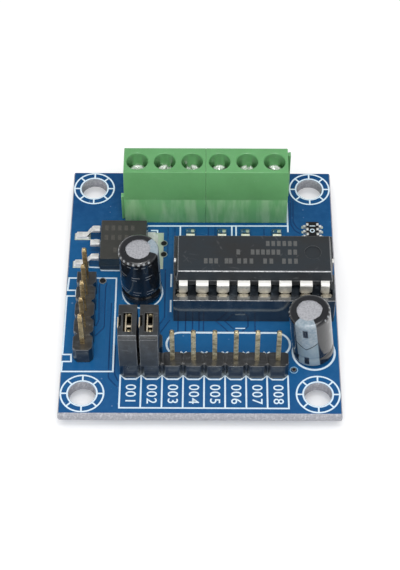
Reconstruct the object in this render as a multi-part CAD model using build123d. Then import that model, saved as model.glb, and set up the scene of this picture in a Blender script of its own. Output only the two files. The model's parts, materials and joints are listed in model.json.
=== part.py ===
from build123d import *
import os

# DC motor driver module: a scored circuit board that carries two screw terminal blocks,
# a socketed driver chip, a voltage regulator, two capacitors and three pin headers.
# Millimetres. X runs to the right, Y towards the wire terminals and Z up.
# The origin is the centre of the mounting-hole pattern, on the board's underside.

# Circuit board
board_width = 34.1
board_depth = 38.2
board_thickness = 1.6
score_depth = 0.5
score_width = 0.13
mount_spacing_x = 28.4
mount_spacing_y = 32.4
mount_hole_diameter = 3.3
via_diameter = 0.4
tail_length = 1.5
pad_thickness = 0.1
hole_clearance = 0.06

# Pin headers
pin_pitch = 2.54
pin_width = 0.56
pin_rise = 5.6
pin_tip = 0.3
pin_tip_angle = 25
strip_width = 2.4
strip_height = 2.54
strip_notch = 0.45
input_ways = 8
input_first_x = -8.41
input_row_y = -12.72
enable_ways = 2
side_ways = 5
side_pitch = 2.5
side_row_x = -14.27
side_first_y = -10.43
side_cut_back = 0.45

# Jumper caps
jumper_width = 2.2
jumper_length = 5.05
jumper_shift = 0.17
jumper_wall = 0.35
jumper_roof = 0.3
jumper_headroom = 0.05
jumper_bevel = 0.3
jumper_groove_height = 0.2
jumper_groove_depth = 0.15
jumper_window_width = 1.0
jumper_window_length = 2.75
jumper_window_setback = 0.88
jumper_leaf = 0.2
jumper_leaf_length = 3.7
jumper_leaf_lift = 0.6
jumper_slot_length = 1.6
jumper_slot_height = 1.8
jumper_tab_proud = 0.12
jumper_tab_clearance = 0.08

# Screw terminal blocks
block_ways = 3
way_pitch = 3.5
block_gap = 0.06
blocks_centre_x = 0.56
block_front_y = 10.4
block_depth = 6.9
block_height = 8.4
block_shoulder = 4.6
block_front_setback = 1.36
block_rear_setback = 1.43
block_edge_round = 0.12
rib_proud = 0.4
rib_width = 0.5
rib_flare = 0.15
rib_clearance = 0.04
front_rib_setback = 0.6
front_rib_height = 4.4
rear_rib_setback = 1.6
rear_rib_height = 8.0
screw_setback = 3.24
screw_hole_diameter = 2.7
screw_head_diameter = 2.5
screw_head_height = 1.1
screw_head_depth = 2.1
screw_diameter = 1.6
screw_slot_width = 0.4
screw_slot_depth = 0.5
screw_running_fit = 0.05
clamp_width = 2.6
clamp_depth = 2.2
clamp_wall = 0.4
clamp_roof = 0.6
clamp_lift = 0.25
clamp_travel = 1.6
clamp_clearance = 0.1
bar_width = 1.6
bar_thickness = 0.5
wire_gap = 1.7
mouth_width = 2.2
mouth_sill = 0.45
mouth_flare = 0.25
block_pin_width = 1.0

# Driver chip and its socket
chip_pin_count = 16
chip_row_spacing = 7.62
socket_centre_x = 6.55
socket_centre_y = -0.34
socket_end_margin = 1.05
socket_rail_width = 2.54
socket_height = 4.3
socket_bar = 1.6
socket_pocket_width = 1.5
socket_pocket_depth = 1.1
socket_floor = 0.5
socket_notch_radius = 1.0
contact_thickness = 0.2
contact_width = 1.2
contact_drop = 0.8
contact_tail_width = 0.5
chip_end_margin = 0.71
chip_width = 6.35
chip_gap = 0.12
chip_lower_height = 1.38
chip_upper_height = 1.42
chip_end_inset = 0.24
chip_side_inset = 0.38
chip_dimple_radius = 1.0
chip_dimple_depth = 0.15
chip_dimple_inset = 2.4
chip_dimple_offset = 0.2
lead_thickness = 0.25
lead_shoulder_width = 1.52
lead_shoulder_chamfer = 0.3
lead_end_overhang = 0.3
lead_width = 0.46
lead_tip_clearance = 0.4
lead_bend_radius = 0.35
tie_bar_width = 0.5
tie_bar_proud = 0.25

# Voltage regulator
regulator_x = -9.9
regulator_y = 5.7
regulator_length = 6.1
regulator_width = 6.6
regulator_lower_height = 1.0
regulator_upper_height = 1.3
regulator_draft = 8
tab_width = 5.3
tab_overhang = 0.95
tab_under_body = 4.6
tab_thickness = 0.5
tab_pad_reach = 1.05
regulator_lead_pitch = 2.28
regulator_lead_width = 0.8
regulator_lead_thickness = 0.5
regulator_lead_top = 1.75
regulator_lead_run = 1.0
regulator_lead_slope = 0.65
regulator_foot_length = 1.45
regulator_stub_length = 1.2
pad_margin = 0.3

# Electrolytic capacitors
can_diameter = 4.8
can_bottom = 0.6
can_height = 8.05
can_edge_round = 0.35
sleeve_thickness = 0.1
sleeve_lip = 0.98
crimp_height = 1.3
crimp_depth = 0.25
crimp_width = 0.7
bung_diameter = 4.0
bung_height = 0.9
can_lead_spacing = 2.0
can_lead_diameter = 0.5
left_can_x = -7.38
left_can_y = -0.85
left_can_lean = 1.6
right_can_x = 13.88
right_can_y = -9.95
right_can_lean = 6.5

# Chip resistors and indicator lamps
network_x = 14.35
network_y = 8.48
network_length = 3.2
network_width = 1.6
network_height = 0.6
network_ways = 4
network_pitch = 0.8
network_end_width = 0.4
network_end_depth = 0.3
network_pad_reach = 0.6
lamp_first_x = -1.39
lamp_y = 7.96
lamp_pair_pitch = 4.05
lamp_group_pitch = 7.07
lamp_length = 2.0
lamp_width = 1.25
lamp_base_height = 0.45
lamp_lens_height = 0.45
lamp_lens_length = 1.2
lamp_end_length = 0.4
lamp_draft = 6

# Solder and vias
solder_height = 0.9
solder_margin = 0.45
via_places = [(-4.82, 6.99), (-4.86, 5.15), (-12.43, 0.77), (11.42, -12.74)]

# Levels and places that follow from the sizes above
deck = board_thickness
pad_top = deck + pad_thickness
strip_top = deck + strip_height
pin_top = strip_top + pin_rise
enable_row_y = input_row_y + pin_pitch
jumper_height = pin_rise + jumper_headroom + jumper_roof
block_width = block_ways * way_pitch - block_gap
screw_y = block_front_y + screw_setback
clamp_bottom = deck + clamp_lift
bar_bottom = clamp_bottom + clamp_wall + wire_gap
bar_top = bar_bottom + bar_thickness
clamp_top = bar_top + screw_running_fit + clamp_roof
screw_head_top = deck + block_height - screw_head_depth
screw_head_bottom = screw_head_top - screw_head_height
bar_leg_y = screw_y - clamp_depth / 2 - clamp_clearance - bar_thickness / 2
chamber_top = clamp_top + clamp_travel + clamp_clearance
chip_parting = deck + socket_height + chip_gap + chip_lower_height
pins_per_row = chip_pin_count // 2
chip_length = (pins_per_row - 1) * pin_pitch + 2 * chip_end_margin
socket_length = (pins_per_row - 1) * pin_pitch + 2 * socket_end_margin
socket_width = chip_row_spacing + socket_rail_width
contact_base = deck + socket_floor
contact_top = deck + socket_height - contact_drop
lead_tip = contact_base + contact_thickness + lead_tip_clearance


def block(x0, x1, y0, y1, z0, z1):
    """A box between two corners."""
    return Pos(x0, y0, z0) * Box(x1 - x0, y1 - y0, z1 - z0, align=(Align.MIN, Align.MIN, Align.MIN))


def prism_x(points, width):
    """A solid of the outline (y, z) points, spread evenly to both sides along X."""
    face = Plane.YZ * Polygon(*points, align=None)
    return extrude(face, width / 2, both=True)


def prism_y(points, width):
    """A solid of the outline (x, z) points, spread evenly to both sides along Y."""
    face = Plane.XZ * Polygon(*points, align=None)
    return extrude(face, width / 2, both=True)


def tail_pin(width, depth, top):
    """A straight pin of rectangular section, from the point of its soldered tail up."""
    section = Rectangle(width, depth)
    neck = pin_tip - tail_length
    shank = Pos(0, 0, neck) * extrude(section, top - neck)
    point = Pos(0, 0, neck) * Rot(180, 0, 0) * extrude(section, pin_tip, taper=pin_tip_angle)
    return shank + point


def contact_pin(width, top):
    """A square pin with a point at its free end too."""
    neck = top - pin_tip
    point = Pos(0, 0, neck) * extrude(Rectangle(width, width), pin_tip, taper=pin_tip_angle)
    return tail_pin(width, width, neck) + point


def drafted_block(length, width, height, end_inset, side_inset):
    """A block on the plane z = 0 whose four sides lean in towards its top."""
    top = Rectangle(length - 2 * end_inset, width - 2 * side_inset)
    return loft([Rectangle(length, width).face(), (Pos(0, 0, height) * top).face()], ruled=True)


def row(count, step, x, y, along_y=False):
    """The places of a row of pins, from the first one on."""
    if along_y:
        return [Pos(x, y + step * i) for i in range(count)]
    return [Pos(x + step * i, y) for i in range(count)]


def input_places():
    return row(input_ways, pin_pitch, input_first_x, input_row_y)


def enable_places():
    return row(enable_ways, pin_pitch, input_first_x, enable_row_y)


def side_places():
    return row(side_ways, side_pitch, side_row_x, side_first_y, along_y=True)


def chip_places():
    """Each chip pin as its x, its side of the chip (-1 front, 1 rear) and its place in the row."""
    first_x = socket_centre_x - (pins_per_row - 1) * pin_pitch / 2
    return [(first_x + pin_pitch * i, side, i) for side in (-1, 1) for i in range(pins_per_row)]


def block_centres():
    half = (block_width + block_gap) / 2
    return [blocks_centre_x - half, blocks_centre_x + half]


def way_places(centre_x):
    """The x of each way of a terminal block."""
    first_x = centre_x - (block_ways - 1) * way_pitch / 2
    return [first_x + way_pitch * i for i in range(block_ways)]


def can_lead_places(x, y):
    """The two lead holes of a capacitor, one before the other."""
    half = can_lead_spacing / 2
    return [Pos(x, y - half), Pos(x, y + half)]


def diagonal(width, depth):
    return (width ** 2 + depth ** 2) ** 0.5


def soldered_pins():
    """Every soldered tail as its place, width and depth."""
    pins = [(place, pin_width, pin_width) for place in input_places() + enable_places() + side_places()]
    for x, side, _ in chip_places():
        place = Pos(x, socket_centre_y + side * chip_row_spacing / 2)
        pins.append((place, contact_tail_width, lead_thickness))
    for centre_x in block_centres():
        pins += [(Pos(x, bar_leg_y), block_pin_width, bar_thickness) for x in way_places(centre_x)]
    cans = can_lead_places(left_can_x, left_can_y) + can_lead_places(right_can_x, right_can_y)
    pins += [(place, can_lead_diameter, 0) for place in cans]
    return pins


def circuit_board():
    """The scored slab with its mounting holes, drilled pin holes and vias."""
    def scored(span):
        half = span / 2
        side = [(half - score_width, 0), (half, score_depth)]
        side += [(half, board_thickness - score_depth), (half - score_width, board_thickness)]
        return side + [(-u, v) for u, v in reversed(side)]
    slab = prism_y(scored(board_width), board_depth) & prism_x(scored(board_depth), board_width)
    holes = Sketch() + GridLocations(mount_spacing_x, mount_spacing_y, 2, 2) * Circle(mount_hole_diameter / 2)
    for place, width, depth in soldered_pins():
        holes += place * Circle(diagonal(width, depth) / 2 + hole_clearance)
    for x, y in via_places:
        holes += Pos(x, y) * Circle(via_diameter / 2)
    return slab - extrude(holes, board_thickness)


def header_strip(ways, step):
    """The notched plastic strip of a pin header, its first pin at the origin, running along X."""
    cell = Rectangle(step, strip_width)
    cell = chamfer(cell.vertices(), strip_notch)
    outline = Sketch() + [Pos(step * i, 0) * cell for i in range(ways)]
    outline -= [Pos(step * i, 0) * Rectangle(pin_width, pin_width) for i in range(ways)]
    return Pos(0, 0, deck) * extrude(outline, strip_height)


def input_header_strip():
    return Pos(input_first_x, input_row_y) * header_strip(input_ways, pin_pitch)


def enable_header_strip():
    return Pos(input_first_x, enable_row_y) * header_strip(enable_ways, pin_pitch)


def side_header_strip():
    """The side strip runs along Y and was cut short behind its last pin."""
    strip = Pos(side_row_x, side_first_y) * Rot(0, 0, 90) * header_strip(side_ways, side_pitch)
    end_y = side_first_y + (side_ways - 0.5) * side_pitch
    waste = Pos(side_row_x, end_y - side_cut_back / 2, deck + strip_height / 2)
    return strip - waste * Box(strip_width, side_cut_back, strip_height)


def header_pins(places):
    pin = contact_pin(pin_width, pin_top)
    return [place * pin for place in places]


def jumper_cap(x):
    """A cap over a front and a rear pin: bevelled roof with a window, a slotted left wall, no floor."""
    centre_y = (input_row_y + enable_row_y) / 2
    half = jumper_length / 2
    side = [(half, 0), (half, jumper_height - jumper_bevel), (half - jumper_bevel, jumper_height)]
    outline = side + [(-u, v) for u, v in reversed(side)]
    body = prism_x(outline, jumper_width)
    half_width = jumper_width / 2
    inner = half_width - jumper_wall
    under_roof = jumper_height - jumper_roof
    body -= block(-inner, inner, -half + jumper_wall, half - jumper_wall, 0, under_roof)
    front = -half + jumper_window_setback
    window = jumper_window_width / 2
    body -= block(-window, window, front, front + jumper_window_length, under_roof, jumper_height)
    groove_top = jumper_height - jumper_bevel
    groove_back = -half + jumper_groove_depth
    body -= block(-half_width, half_width, -half, groove_back, groove_top - jumper_groove_height, groove_top)
    slot = jumper_slot_length / 2
    body -= block(-half_width, -inner, -slot, slot, jumper_height - jumper_slot_height, jumper_height)
    return Pos(x - jumper_shift, centre_y, strip_top) * body


def jumper_contact(x):
    """The spring strip inside a cap: leaves that grip both pins, and a tab out through the slot."""
    centre_y = (input_row_y + enable_row_y) / 2
    grip = pin_width / 2
    half = jumper_leaf_length / 2
    bottom = strip_top + jumper_leaf_lift
    outer = grip + jumper_leaf
    left = block(-outer, -grip, -half, half, bottom, pin_top)
    right = block(grip, outer, -half, half, bottom, pin_top)
    gap = (pin_pitch - pin_width) / 2
    bridge = block(-grip, grip, -gap, gap, pin_top - jumper_leaf, pin_top)
    cap_side = -jumper_shift - jumper_width / 2
    tab_side = cap_side - jumper_tab_proud
    tab = jumper_slot_length / 2 - jumper_tab_clearance
    tab_bottom = strip_top + jumper_height - jumper_slot_height + jumper_tab_clearance
    neck = block(tab_side, -outer, -tab, tab, tab_bottom, tab_bottom + jumper_leaf)
    flap = block(tab_side, tab_side + jumper_leaf, -tab, tab, tab_bottom, pin_top)
    return Pos(x, centre_y) * (left + right + bridge + neck + flap)


def block_outline():
    """The side view of a terminal block, from the board up."""
    rear_y = block_front_y + block_depth
    return [
        (block_front_y, deck),
        (block_front_y, deck + block_shoulder),
        (block_front_y + block_front_setback, deck + block_height),
        (rear_y - block_rear_setback, deck + block_height),
        (rear_y, deck + block_shoulder),
        (rear_y, deck),
    ]


def wire_mouth(x):
    """The flared wire entry of one way, from the rear face into the chamber."""
    rear_y = block_front_y + block_depth
    inner_y = screw_y + clamp_depth / 2
    bottom = deck + mouth_sill
    half = mouth_width / 2
    tunnel = block(x - half, x + half, inner_y, rear_y, bottom, bar_bottom)
    face = Plane(origin=(x, rear_y, (bottom + bar_bottom) / 2), x_dir=(1, 0, 0), z_dir=(0, -1, 0))
    opening = Rectangle(mouth_width + 2 * mouth_flare, bar_bottom - bottom + 2 * mouth_flare)
    return tunnel + extrude(face * opening, mouth_flare, taper=45)


def way_cavity(x):
    """All that is cut away for one way: screw hole, clamp chamber, bar slot and wire mouth."""
    half_x = clamp_width / 2 + clamp_clearance
    half_y = clamp_depth / 2 + clamp_clearance
    chamber = block(x - half_x, x + half_x, screw_y - half_y, screw_y + half_y, deck, chamber_top)
    top = deck + block_height
    bore = Pos(x, screw_y, chamber_top) * Cylinder(
        screw_hole_diameter / 2, top - chamber_top, align=(Align.CENTER, Align.CENTER, Align.MIN))
    half_bar = bar_width / 2
    leg_back = bar_leg_y - bar_thickness / 2
    slot = block(x - half_bar, x + half_bar, leg_back, screw_y - half_y, deck, bar_top)
    return chamber + bore + slot + wire_mouth(x)


def side_rib(x, y, side, height, grow):
    """A dovetail rib on a block's side (-1 left, 1 right); grown a little, it is the groove for one."""
    root = rib_width / 2 + grow
    outer = root + rib_flare
    reach = side * (rib_proud + grow)
    outline = Polygon((0, root), (reach, outer), (reach, -outer), (0, -root), align=None)
    return Pos(x, y, deck) * extrude(outline, height + grow, dir=(0, 0, 1))


def terminal_housing(centre_x):
    """The moulded body of a terminal block."""
    body = prism_x(block_outline(), block_width)
    ridges = body.edges().filter_by(Axis.X).group_by(Axis.Z)[-1]
    body = Pos(centre_x) * fillet(ridges, block_edge_round)
    left = centre_x - block_width / 2
    right = left + block_width
    half_rib = rib_width / 2 + rib_flare
    front_y = block_front_y + front_rib_setback + half_rib
    rear_y = block_front_y + block_depth - rear_rib_setback - half_rib
    body += side_rib(left, front_y, -1, front_rib_height, 0)
    body += side_rib(right, rear_y, 1, rear_rib_height, 0)
    body -= side_rib(right + block_gap, front_y, -1, front_rib_height, rib_clearance)
    body -= side_rib(left - block_gap, rear_y, 1, rear_rib_height, rib_clearance)
    for x in way_places(centre_x):
        body -= way_cavity(x)
    return body


def terminal_contacts(centre_x):
    """One bent bar a way: a tongue through the clamp, a leg behind it and the soldered pin."""
    contacts = []
    for x in way_places(centre_x):
        half = bar_width / 2
        leg_front = bar_leg_y + bar_thickness / 2
        tongue_end = screw_y + clamp_depth / 2 + clamp_clearance
        leg = block(x - half, x + half, leg_front - bar_thickness, leg_front, deck, bar_top)
        tongue = block(x - half, x + half, leg_front, tongue_end, bar_bottom, bar_top)
        pin = Pos(x, bar_leg_y) * tail_pin(block_pin_width, bar_thickness, deck)
        contacts.append(leg + tongue + pin)
    return contacts


def terminal_screw(x):
    """A slotted screw whose tip bears on the bar."""
    head = Pos(0, 0, screw_head_bottom) * Cylinder(
        screw_head_diameter / 2, screw_head_height, align=(Align.CENTER, Align.CENTER, Align.MIN))
    shank = Pos(0, 0, bar_top) * Cylinder(
        screw_diameter / 2, screw_head_bottom - bar_top, align=(Align.CENTER, Align.CENTER, Align.MIN))
    half_slot = screw_slot_width / 2
    radius = screw_head_diameter / 2
    slot = block(-radius, radius, -half_slot, half_slot, screw_head_top - screw_slot_depth, screw_head_top)
    return Pos(x, screw_y) * (head + shank - slot)


def terminal_clamp(x):
    """The square cage that the screw draws up, shown fully open."""
    half_x = clamp_width / 2
    half_y = clamp_depth / 2
    cage = block(-half_x, half_x, -half_y, half_y, clamp_bottom, clamp_top)
    inner = half_x - clamp_wall
    roof_bottom = clamp_top - clamp_roof
    cage -= block(-inner, inner, -half_y, half_y, clamp_bottom + clamp_wall, roof_bottom)
    cage -= Pos(0, 0, roof_bottom) * Cylinder(
        screw_diameter / 2 + screw_running_fit, clamp_roof, align=(Align.CENTER, Align.CENTER, Align.MIN))
    return Pos(x, screw_y) * cage


def chip_socket():
    """The socket's frame: two rails with a pocket a pin, and three bars across."""
    half_x = socket_length / 2
    half_y = socket_width / 2
    body = block(-half_x, half_x, -half_y, half_y, 0, socket_height)
    window_x = half_x - socket_bar
    window_y = half_y - socket_rail_width
    for side in (-1, 1):
        inner = side * socket_bar / 2
        outer = side * window_x
        body -= block(min(inner, outer), max(inner, outer), -window_y, window_y, 0, socket_height)
    body -= Pos(half_x, 0, 0) * Cylinder(
        socket_notch_radius, socket_height, align=(Align.CENTER, Align.CENTER, Align.MIN))
    body = Pos(socket_centre_x, socket_centre_y, deck) * body
    for x, side, _ in chip_places():
        place = Pos(x, socket_centre_y + side * chip_row_spacing / 2, deck)
        half_pocket = socket_pocket_width / 2
        half_deep = socket_pocket_depth / 2
        pocket = block(-half_pocket, half_pocket, -half_deep, half_deep, socket_floor, socket_height)
        half_tail = contact_tail_width / 2
        half_thick = lead_thickness / 2
        pocket += block(-half_tail, half_tail, -half_thick, half_thick, 0, socket_floor)
        body -= place * pocket
    return body


def socket_contacts():
    """A forked spring and tail for each chip pin."""
    half = contact_width / 2
    inner = lead_thickness / 2
    outer = inner + contact_thickness
    base = contact_base
    fork = block(-half, half, -outer, -inner, base, contact_top)
    fork += block(-half, half, inner, outer, base, contact_top)
    fork += block(-half, half, -inner, inner, base, base + contact_thickness)
    fork += tail_pin(contact_tail_width, lead_thickness, base)
    return [Pos(x, socket_centre_y + side * chip_row_spacing / 2) * fork for x, side, _ in chip_places()]


def driver_chip():
    """The moulded chip body: two drafted halves and the dimple at its first pin's end."""
    upper = drafted_block(chip_length, chip_width, chip_upper_height, chip_end_inset, chip_side_inset)
    lower = drafted_block(chip_length, chip_width, chip_lower_height, chip_end_inset, chip_side_inset)
    lower = Rot(180, 0, 0) * lower
    dimple_x = chip_length / 2 - chip_dimple_inset
    dimple = Pos(dimple_x, chip_dimple_offset, chip_upper_height)
    dimple *= Cylinder(chip_dimple_radius, 2 * chip_dimple_depth)
    return Pos(socket_centre_x, socket_centre_y, chip_parting) * (upper + lower - dimple)


def chip_leads():
    """Bent leads: a wide shoulder down to the socket's top, then a narrow tip in its contact."""
    outer_y = chip_row_spacing / 2 + lead_thickness / 2
    inner_y = outer_y - lead_thickness
    top = chip_parting + lead_thickness / 2
    seat = deck + socket_height
    corner = [
        (chip_width / 2, top), (outer_y, top), (outer_y, seat), (inner_y, seat),
        (inner_y, top - lead_thickness), (chip_width / 2, top - lead_thickness),
    ]
    half_tip = lead_width / 2
    leads = []
    for x, side, index in chip_places():
        left = lead_end_overhang if index == 0 else lead_shoulder_width / 2
        right = lead_end_overhang if index == pins_per_row - 1 else lead_shoulder_width / 2
        shoulder = Pos((right - left) / 2) * prism_x(corner, left + right)
        bend = shoulder.edges().filter_by(Axis.X).sort_by(lambda edge: -edge.center().Y - edge.center().Z)[0]
        shoulder = fillet(bend, lead_bend_radius)
        corners = shoulder.edges().filter_by(Axis.Y).group_by(Axis.Z)[0]
        wide = [edge for edge in corners if abs(edge.center().X) > half_tip + lead_shoulder_chamfer]
        lead = chamfer(wide, lead_shoulder_chamfer)
        lead += block(-half_tip, half_tip, inner_y, outer_y, lead_tip, seat)
        if side < 0:
            lead = mirror(lead, about=Plane.XZ)
        leads.append(Pos(x, socket_centre_y) * lead)
    return leads


def chip_tie_bars():
    """The cut ends of the lead frame, one at the middle of each end of the chip."""
    bars = []
    for side in (-1, 1):
        inner = side * chip_length / 2
        outer = inner + side * tie_bar_proud
        bar = block(min(inner, outer), max(inner, outer), -tie_bar_width / 2, tie_bar_width / 2,
                    -lead_thickness / 2, lead_thickness / 2)
        bars.append(Pos(socket_centre_x, socket_centre_y, chip_parting) * bar)
    return bars


def regulator_tab_plate():
    """The tab's plate under the body, with the end that stands out on the right."""
    right = regulator_length / 2 + tab_overhang
    left = regulator_length / 2 - tab_under_body
    half = tab_width / 2
    plate = block(left, right, -half, half, 0, tab_thickness)
    return Pos(regulator_x, regulator_y, pad_top) * plate


def regulator_body():
    """The moulded body of the regulator, around the tab's plate."""
    section = Rectangle(regulator_length, regulator_width)
    upper = extrude(section, regulator_upper_height, taper=regulator_draft)
    lower = Rot(180, 0, 0) * extrude(section, regulator_lower_height, taper=regulator_draft)
    body = Pos(regulator_x, regulator_y, pad_top + regulator_lower_height) * (upper + lower)
    return body - regulator_tab_plate()


def regulator_tab():
    """The tab and its cut middle lead, which are one stamping."""
    half = regulator_lead_width / 2
    right = -regulator_length / 2
    left = right - regulator_stub_length
    top = regulator_lead_top
    stub = block(left, right, -half, half, top - regulator_lead_thickness, top)
    return [regulator_tab_plate(), Pos(regulator_x, regulator_y, pad_top) * stub]


def regulator_leads():
    """The two outer leads, bent down to their pads."""
    start = -regulator_length / 2
    knee = start - regulator_lead_run
    heel = knee - regulator_lead_slope
    toe = heel - regulator_foot_length
    top = regulator_lead_top
    thick = regulator_lead_thickness
    outline = [
        (start, top), (knee, top), (heel, thick), (toe, thick),
        (toe, 0), (heel - thick / 2, 0), (knee - thick / 2, top - thick), (start, top - thick),
    ]
    lead = prism_y(outline, regulator_lead_width)
    return [
        Pos(regulator_x, regulator_y + side * regulator_lead_pitch, pad_top) * lead for side in (-1, 1)
    ]


def can_profile(radius, bottom, top, edge):
    """Half of the can's section, with its crimp and rounded shoulder, as a face in XZ."""
    crimp_z = bottom + crimp_height
    half_crimp = crimp_width / 2
    outline = Polyline((0, bottom), (radius, bottom), (radius, crimp_z - half_crimp))
    outline += ThreePointArc(
        (radius, crimp_z - half_crimp), (radius - crimp_depth, crimp_z), (radius, crimp_z + half_crimp))
    outline += Line((radius, crimp_z + half_crimp), (radius, top - edge))
    outline += RadiusArc((radius, top - edge), (radius - edge, top), -edge)
    outline += Polyline((radius - edge, top), (0, top), (0, bottom))
    return Plane.XZ * make_face(outline)


def can_placed(x, y, lean, shape):
    """Stands a capacitor's shape on the board, leaning to the left."""
    return Pos(x, y, deck) * Rot(0, -lean, 0) * shape


def capacitor_can(x, y, lean):
    """The aluminium can, with the recess for its bung."""
    top = can_bottom + can_height - sleeve_thickness
    body = revolve(can_profile(can_diameter / 2, can_bottom, top, can_edge_round), Axis.Z)
    recess = Pos(0, 0, can_bottom) * Cylinder(
        bung_diameter / 2, bung_height, align=(Align.CENTER, Align.CENTER, Align.MIN))
    return can_placed(x, y, lean, body - recess)


def capacitor_sleeve(x, y, lean):
    """The shrunk sleeve, which laps over the can's shoulder."""
    top = can_bottom + can_height
    outer = can_profile(can_diameter / 2 + sleeve_thickness, can_bottom, top, can_edge_round + sleeve_thickness)
    inner = can_profile(can_diameter / 2, can_bottom, top - sleeve_thickness, can_edge_round)
    shell = revolve(outer, Axis.Z) - revolve(inner, Axis.Z)
    window = Pos(0, 0, top) * Cylinder(
        can_diameter / 2 + sleeve_thickness - sleeve_lip, sleeve_thickness,
        align=(Align.CENTER, Align.CENTER, Align.MAX))
    return can_placed(x, y, lean, shell - window)


def capacitor_bung(x, y, lean):
    """The rubber bung that closes the can, with its two lead holes."""
    bung = Pos(0, 0, can_bottom) * Cylinder(
        bung_diameter / 2, bung_height, align=(Align.CENTER, Align.CENTER, Align.MIN))
    for place in can_lead_places(0, 0):
        bung -= place * Cylinder(
            can_lead_diameter / 2, can_bottom + bung_height, align=(Align.CENTER, Align.CENTER, Align.MIN))
    return can_placed(x, y, lean, bung)


def capacitor_leads(x, y, lean):
    """The two leads: leaning with the can above the board, and straight down through it."""
    radius = can_lead_diameter / 2
    leads = []
    for place in can_lead_places(0, 0):
        upper = place * Cylinder(
            radius, can_bottom + bung_height, align=(Align.CENTER, Align.CENTER, Align.MIN))
        lower = Pos(x, y, deck) * place * Cylinder(
            radius, deck + tail_length, align=(Align.CENTER, Align.CENTER, Align.MAX))
        knee = place * Sphere(radius)
        leads.append(can_placed(x, y, lean, upper + knee) + lower)
    return leads


def network_rows():
    """The y of each resistor in the network, from its middle."""
    return [(i - (network_ways - 1) / 2) * network_pitch for i in range(network_ways)]


def network_body():
    """The ceramic block of the resistor network, without its end caps."""
    height = network_height
    body = block(-network_width / 2, network_width / 2, -network_length / 2, network_length / 2, 0, height)
    for end in network_ends():
        body -= end
    return Pos(network_x, network_y, pad_top) * body


def network_ends():
    """The metal ends of the resistors, wrapped over both long edges."""
    ends = []
    half = network_end_width / 2
    for side in (-1, 1):
        outer = side * network_width / 2
        inner = outer - side * network_end_depth
        for y in network_rows():
            ends.append(block(min(inner, outer), max(inner, outer), y - half, y + half, 0, network_height))
    return ends


def network_caps():
    return [Pos(network_x, network_y, pad_top) * end for end in network_ends()]


def lamp_places():
    """The x of each indicator lamp: two pairs, one for each motor output."""
    return [lamp_first_x + lamp_group_pitch * group + lamp_pair_pitch * i for group in (0, 1) for i in (0, 1)]


def lamp_base(x):
    """The carrier of a lamp, between its two metal ends."""
    half_x = lamp_width / 2
    half_y = lamp_length / 2 - lamp_end_length
    return Pos(x, lamp_y, pad_top) * block(-half_x, half_x, -half_y, half_y, 0, lamp_base_height)


def lamp_lens(x):
    """The clear moulding over a lamp's chip."""
    section = Rectangle(lamp_width, lamp_lens_length)
    lens = extrude(section, lamp_lens_height, taper=lamp_draft)
    return Pos(x, lamp_y, pad_top + lamp_base_height) * lens


def lamp_ends(x):
    """The two solderable ends of a lamp."""
    half_x = lamp_width / 2
    outer = lamp_length / 2
    inner = outer - lamp_end_length
    ends = [block(-half_x, half_x, inner, outer, 0, lamp_base_height)]
    ends.append(block(-half_x, half_x, -outer, -inner, 0, lamp_base_height))
    return [Pos(x, lamp_y, pad_top) * end for end in ends]


def surface_pads():
    """The tinned pads under the parts that are soldered flat on the board."""
    def pad(x0, x1, y0, y1):
        return block(x0, x1, y0, y1, deck, pad_top)
    pads = []
    body_left = regulator_x - regulator_length / 2
    toe = body_left - regulator_lead_run - regulator_lead_slope - regulator_foot_length
    half = regulator_lead_width / 2 + pad_margin / 2
    for side in (-1, 1):
        y = regulator_y + side * regulator_lead_pitch
        pads.append(pad(toe - pad_margin, toe + regulator_foot_length + pad_margin, y - half, y + half))
    body_right = regulator_x + regulator_length / 2
    half = tab_width / 2 + pad_margin
    tab_right = body_right + tab_overhang + tab_pad_reach
    pads.append(pad(body_right - tab_under_body, tab_right, regulator_y - half, regulator_y + half))
    outer = network_width / 2 + network_pad_reach
    for side in (-1, 1):
        for y in network_rows():
            near = network_x + side * (network_width / 2 - network_end_depth)
            far = network_x + side * outer
            half = network_end_width / 2
            pads.append(pad(min(near, far), max(near, far), network_y + y - half, network_y + y + half))
    for x in lamp_places():
        for side in (-1, 1):
            near = lamp_y + side * (lamp_length / 2 - lamp_end_length)
            far = lamp_y + side * (lamp_length / 2 + pad_margin)
            pads.append(pad(x - lamp_width / 2, x + lamp_width / 2, min(near, far), max(near, far)))
    return pads


def solder_joints():
    """A solder fillet around each tail on the underside."""
    joints = []
    for place, width, depth in soldered_pins():
        radius = diagonal(width, depth) / 2
        base = radius + hole_clearance + solder_margin
        cone = Rot(180, 0, 0) * Cone(
            base, radius, solder_height, align=(Align.CENTER, Align.CENTER, Align.MIN))
        if depth:
            tail = Box(width, depth, 2 * solder_height)
        else:
            tail = Cylinder(radius, 2 * solder_height)
        joints.append(place * (cone - tail))
    return joints


def save(name, shapes):
    """Writes one piece, or a group of like pieces, as a STEP file."""
    shapes = shapes if isinstance(shapes, list) else [shapes]
    solids = [solid for shape in shapes for solid in shape.solids()]
    whole = solids[0] if len(solids) == 1 else Compound(children=solids)
    whole.label = name
    export_step(whole, f"parts/{name}.step")


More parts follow.
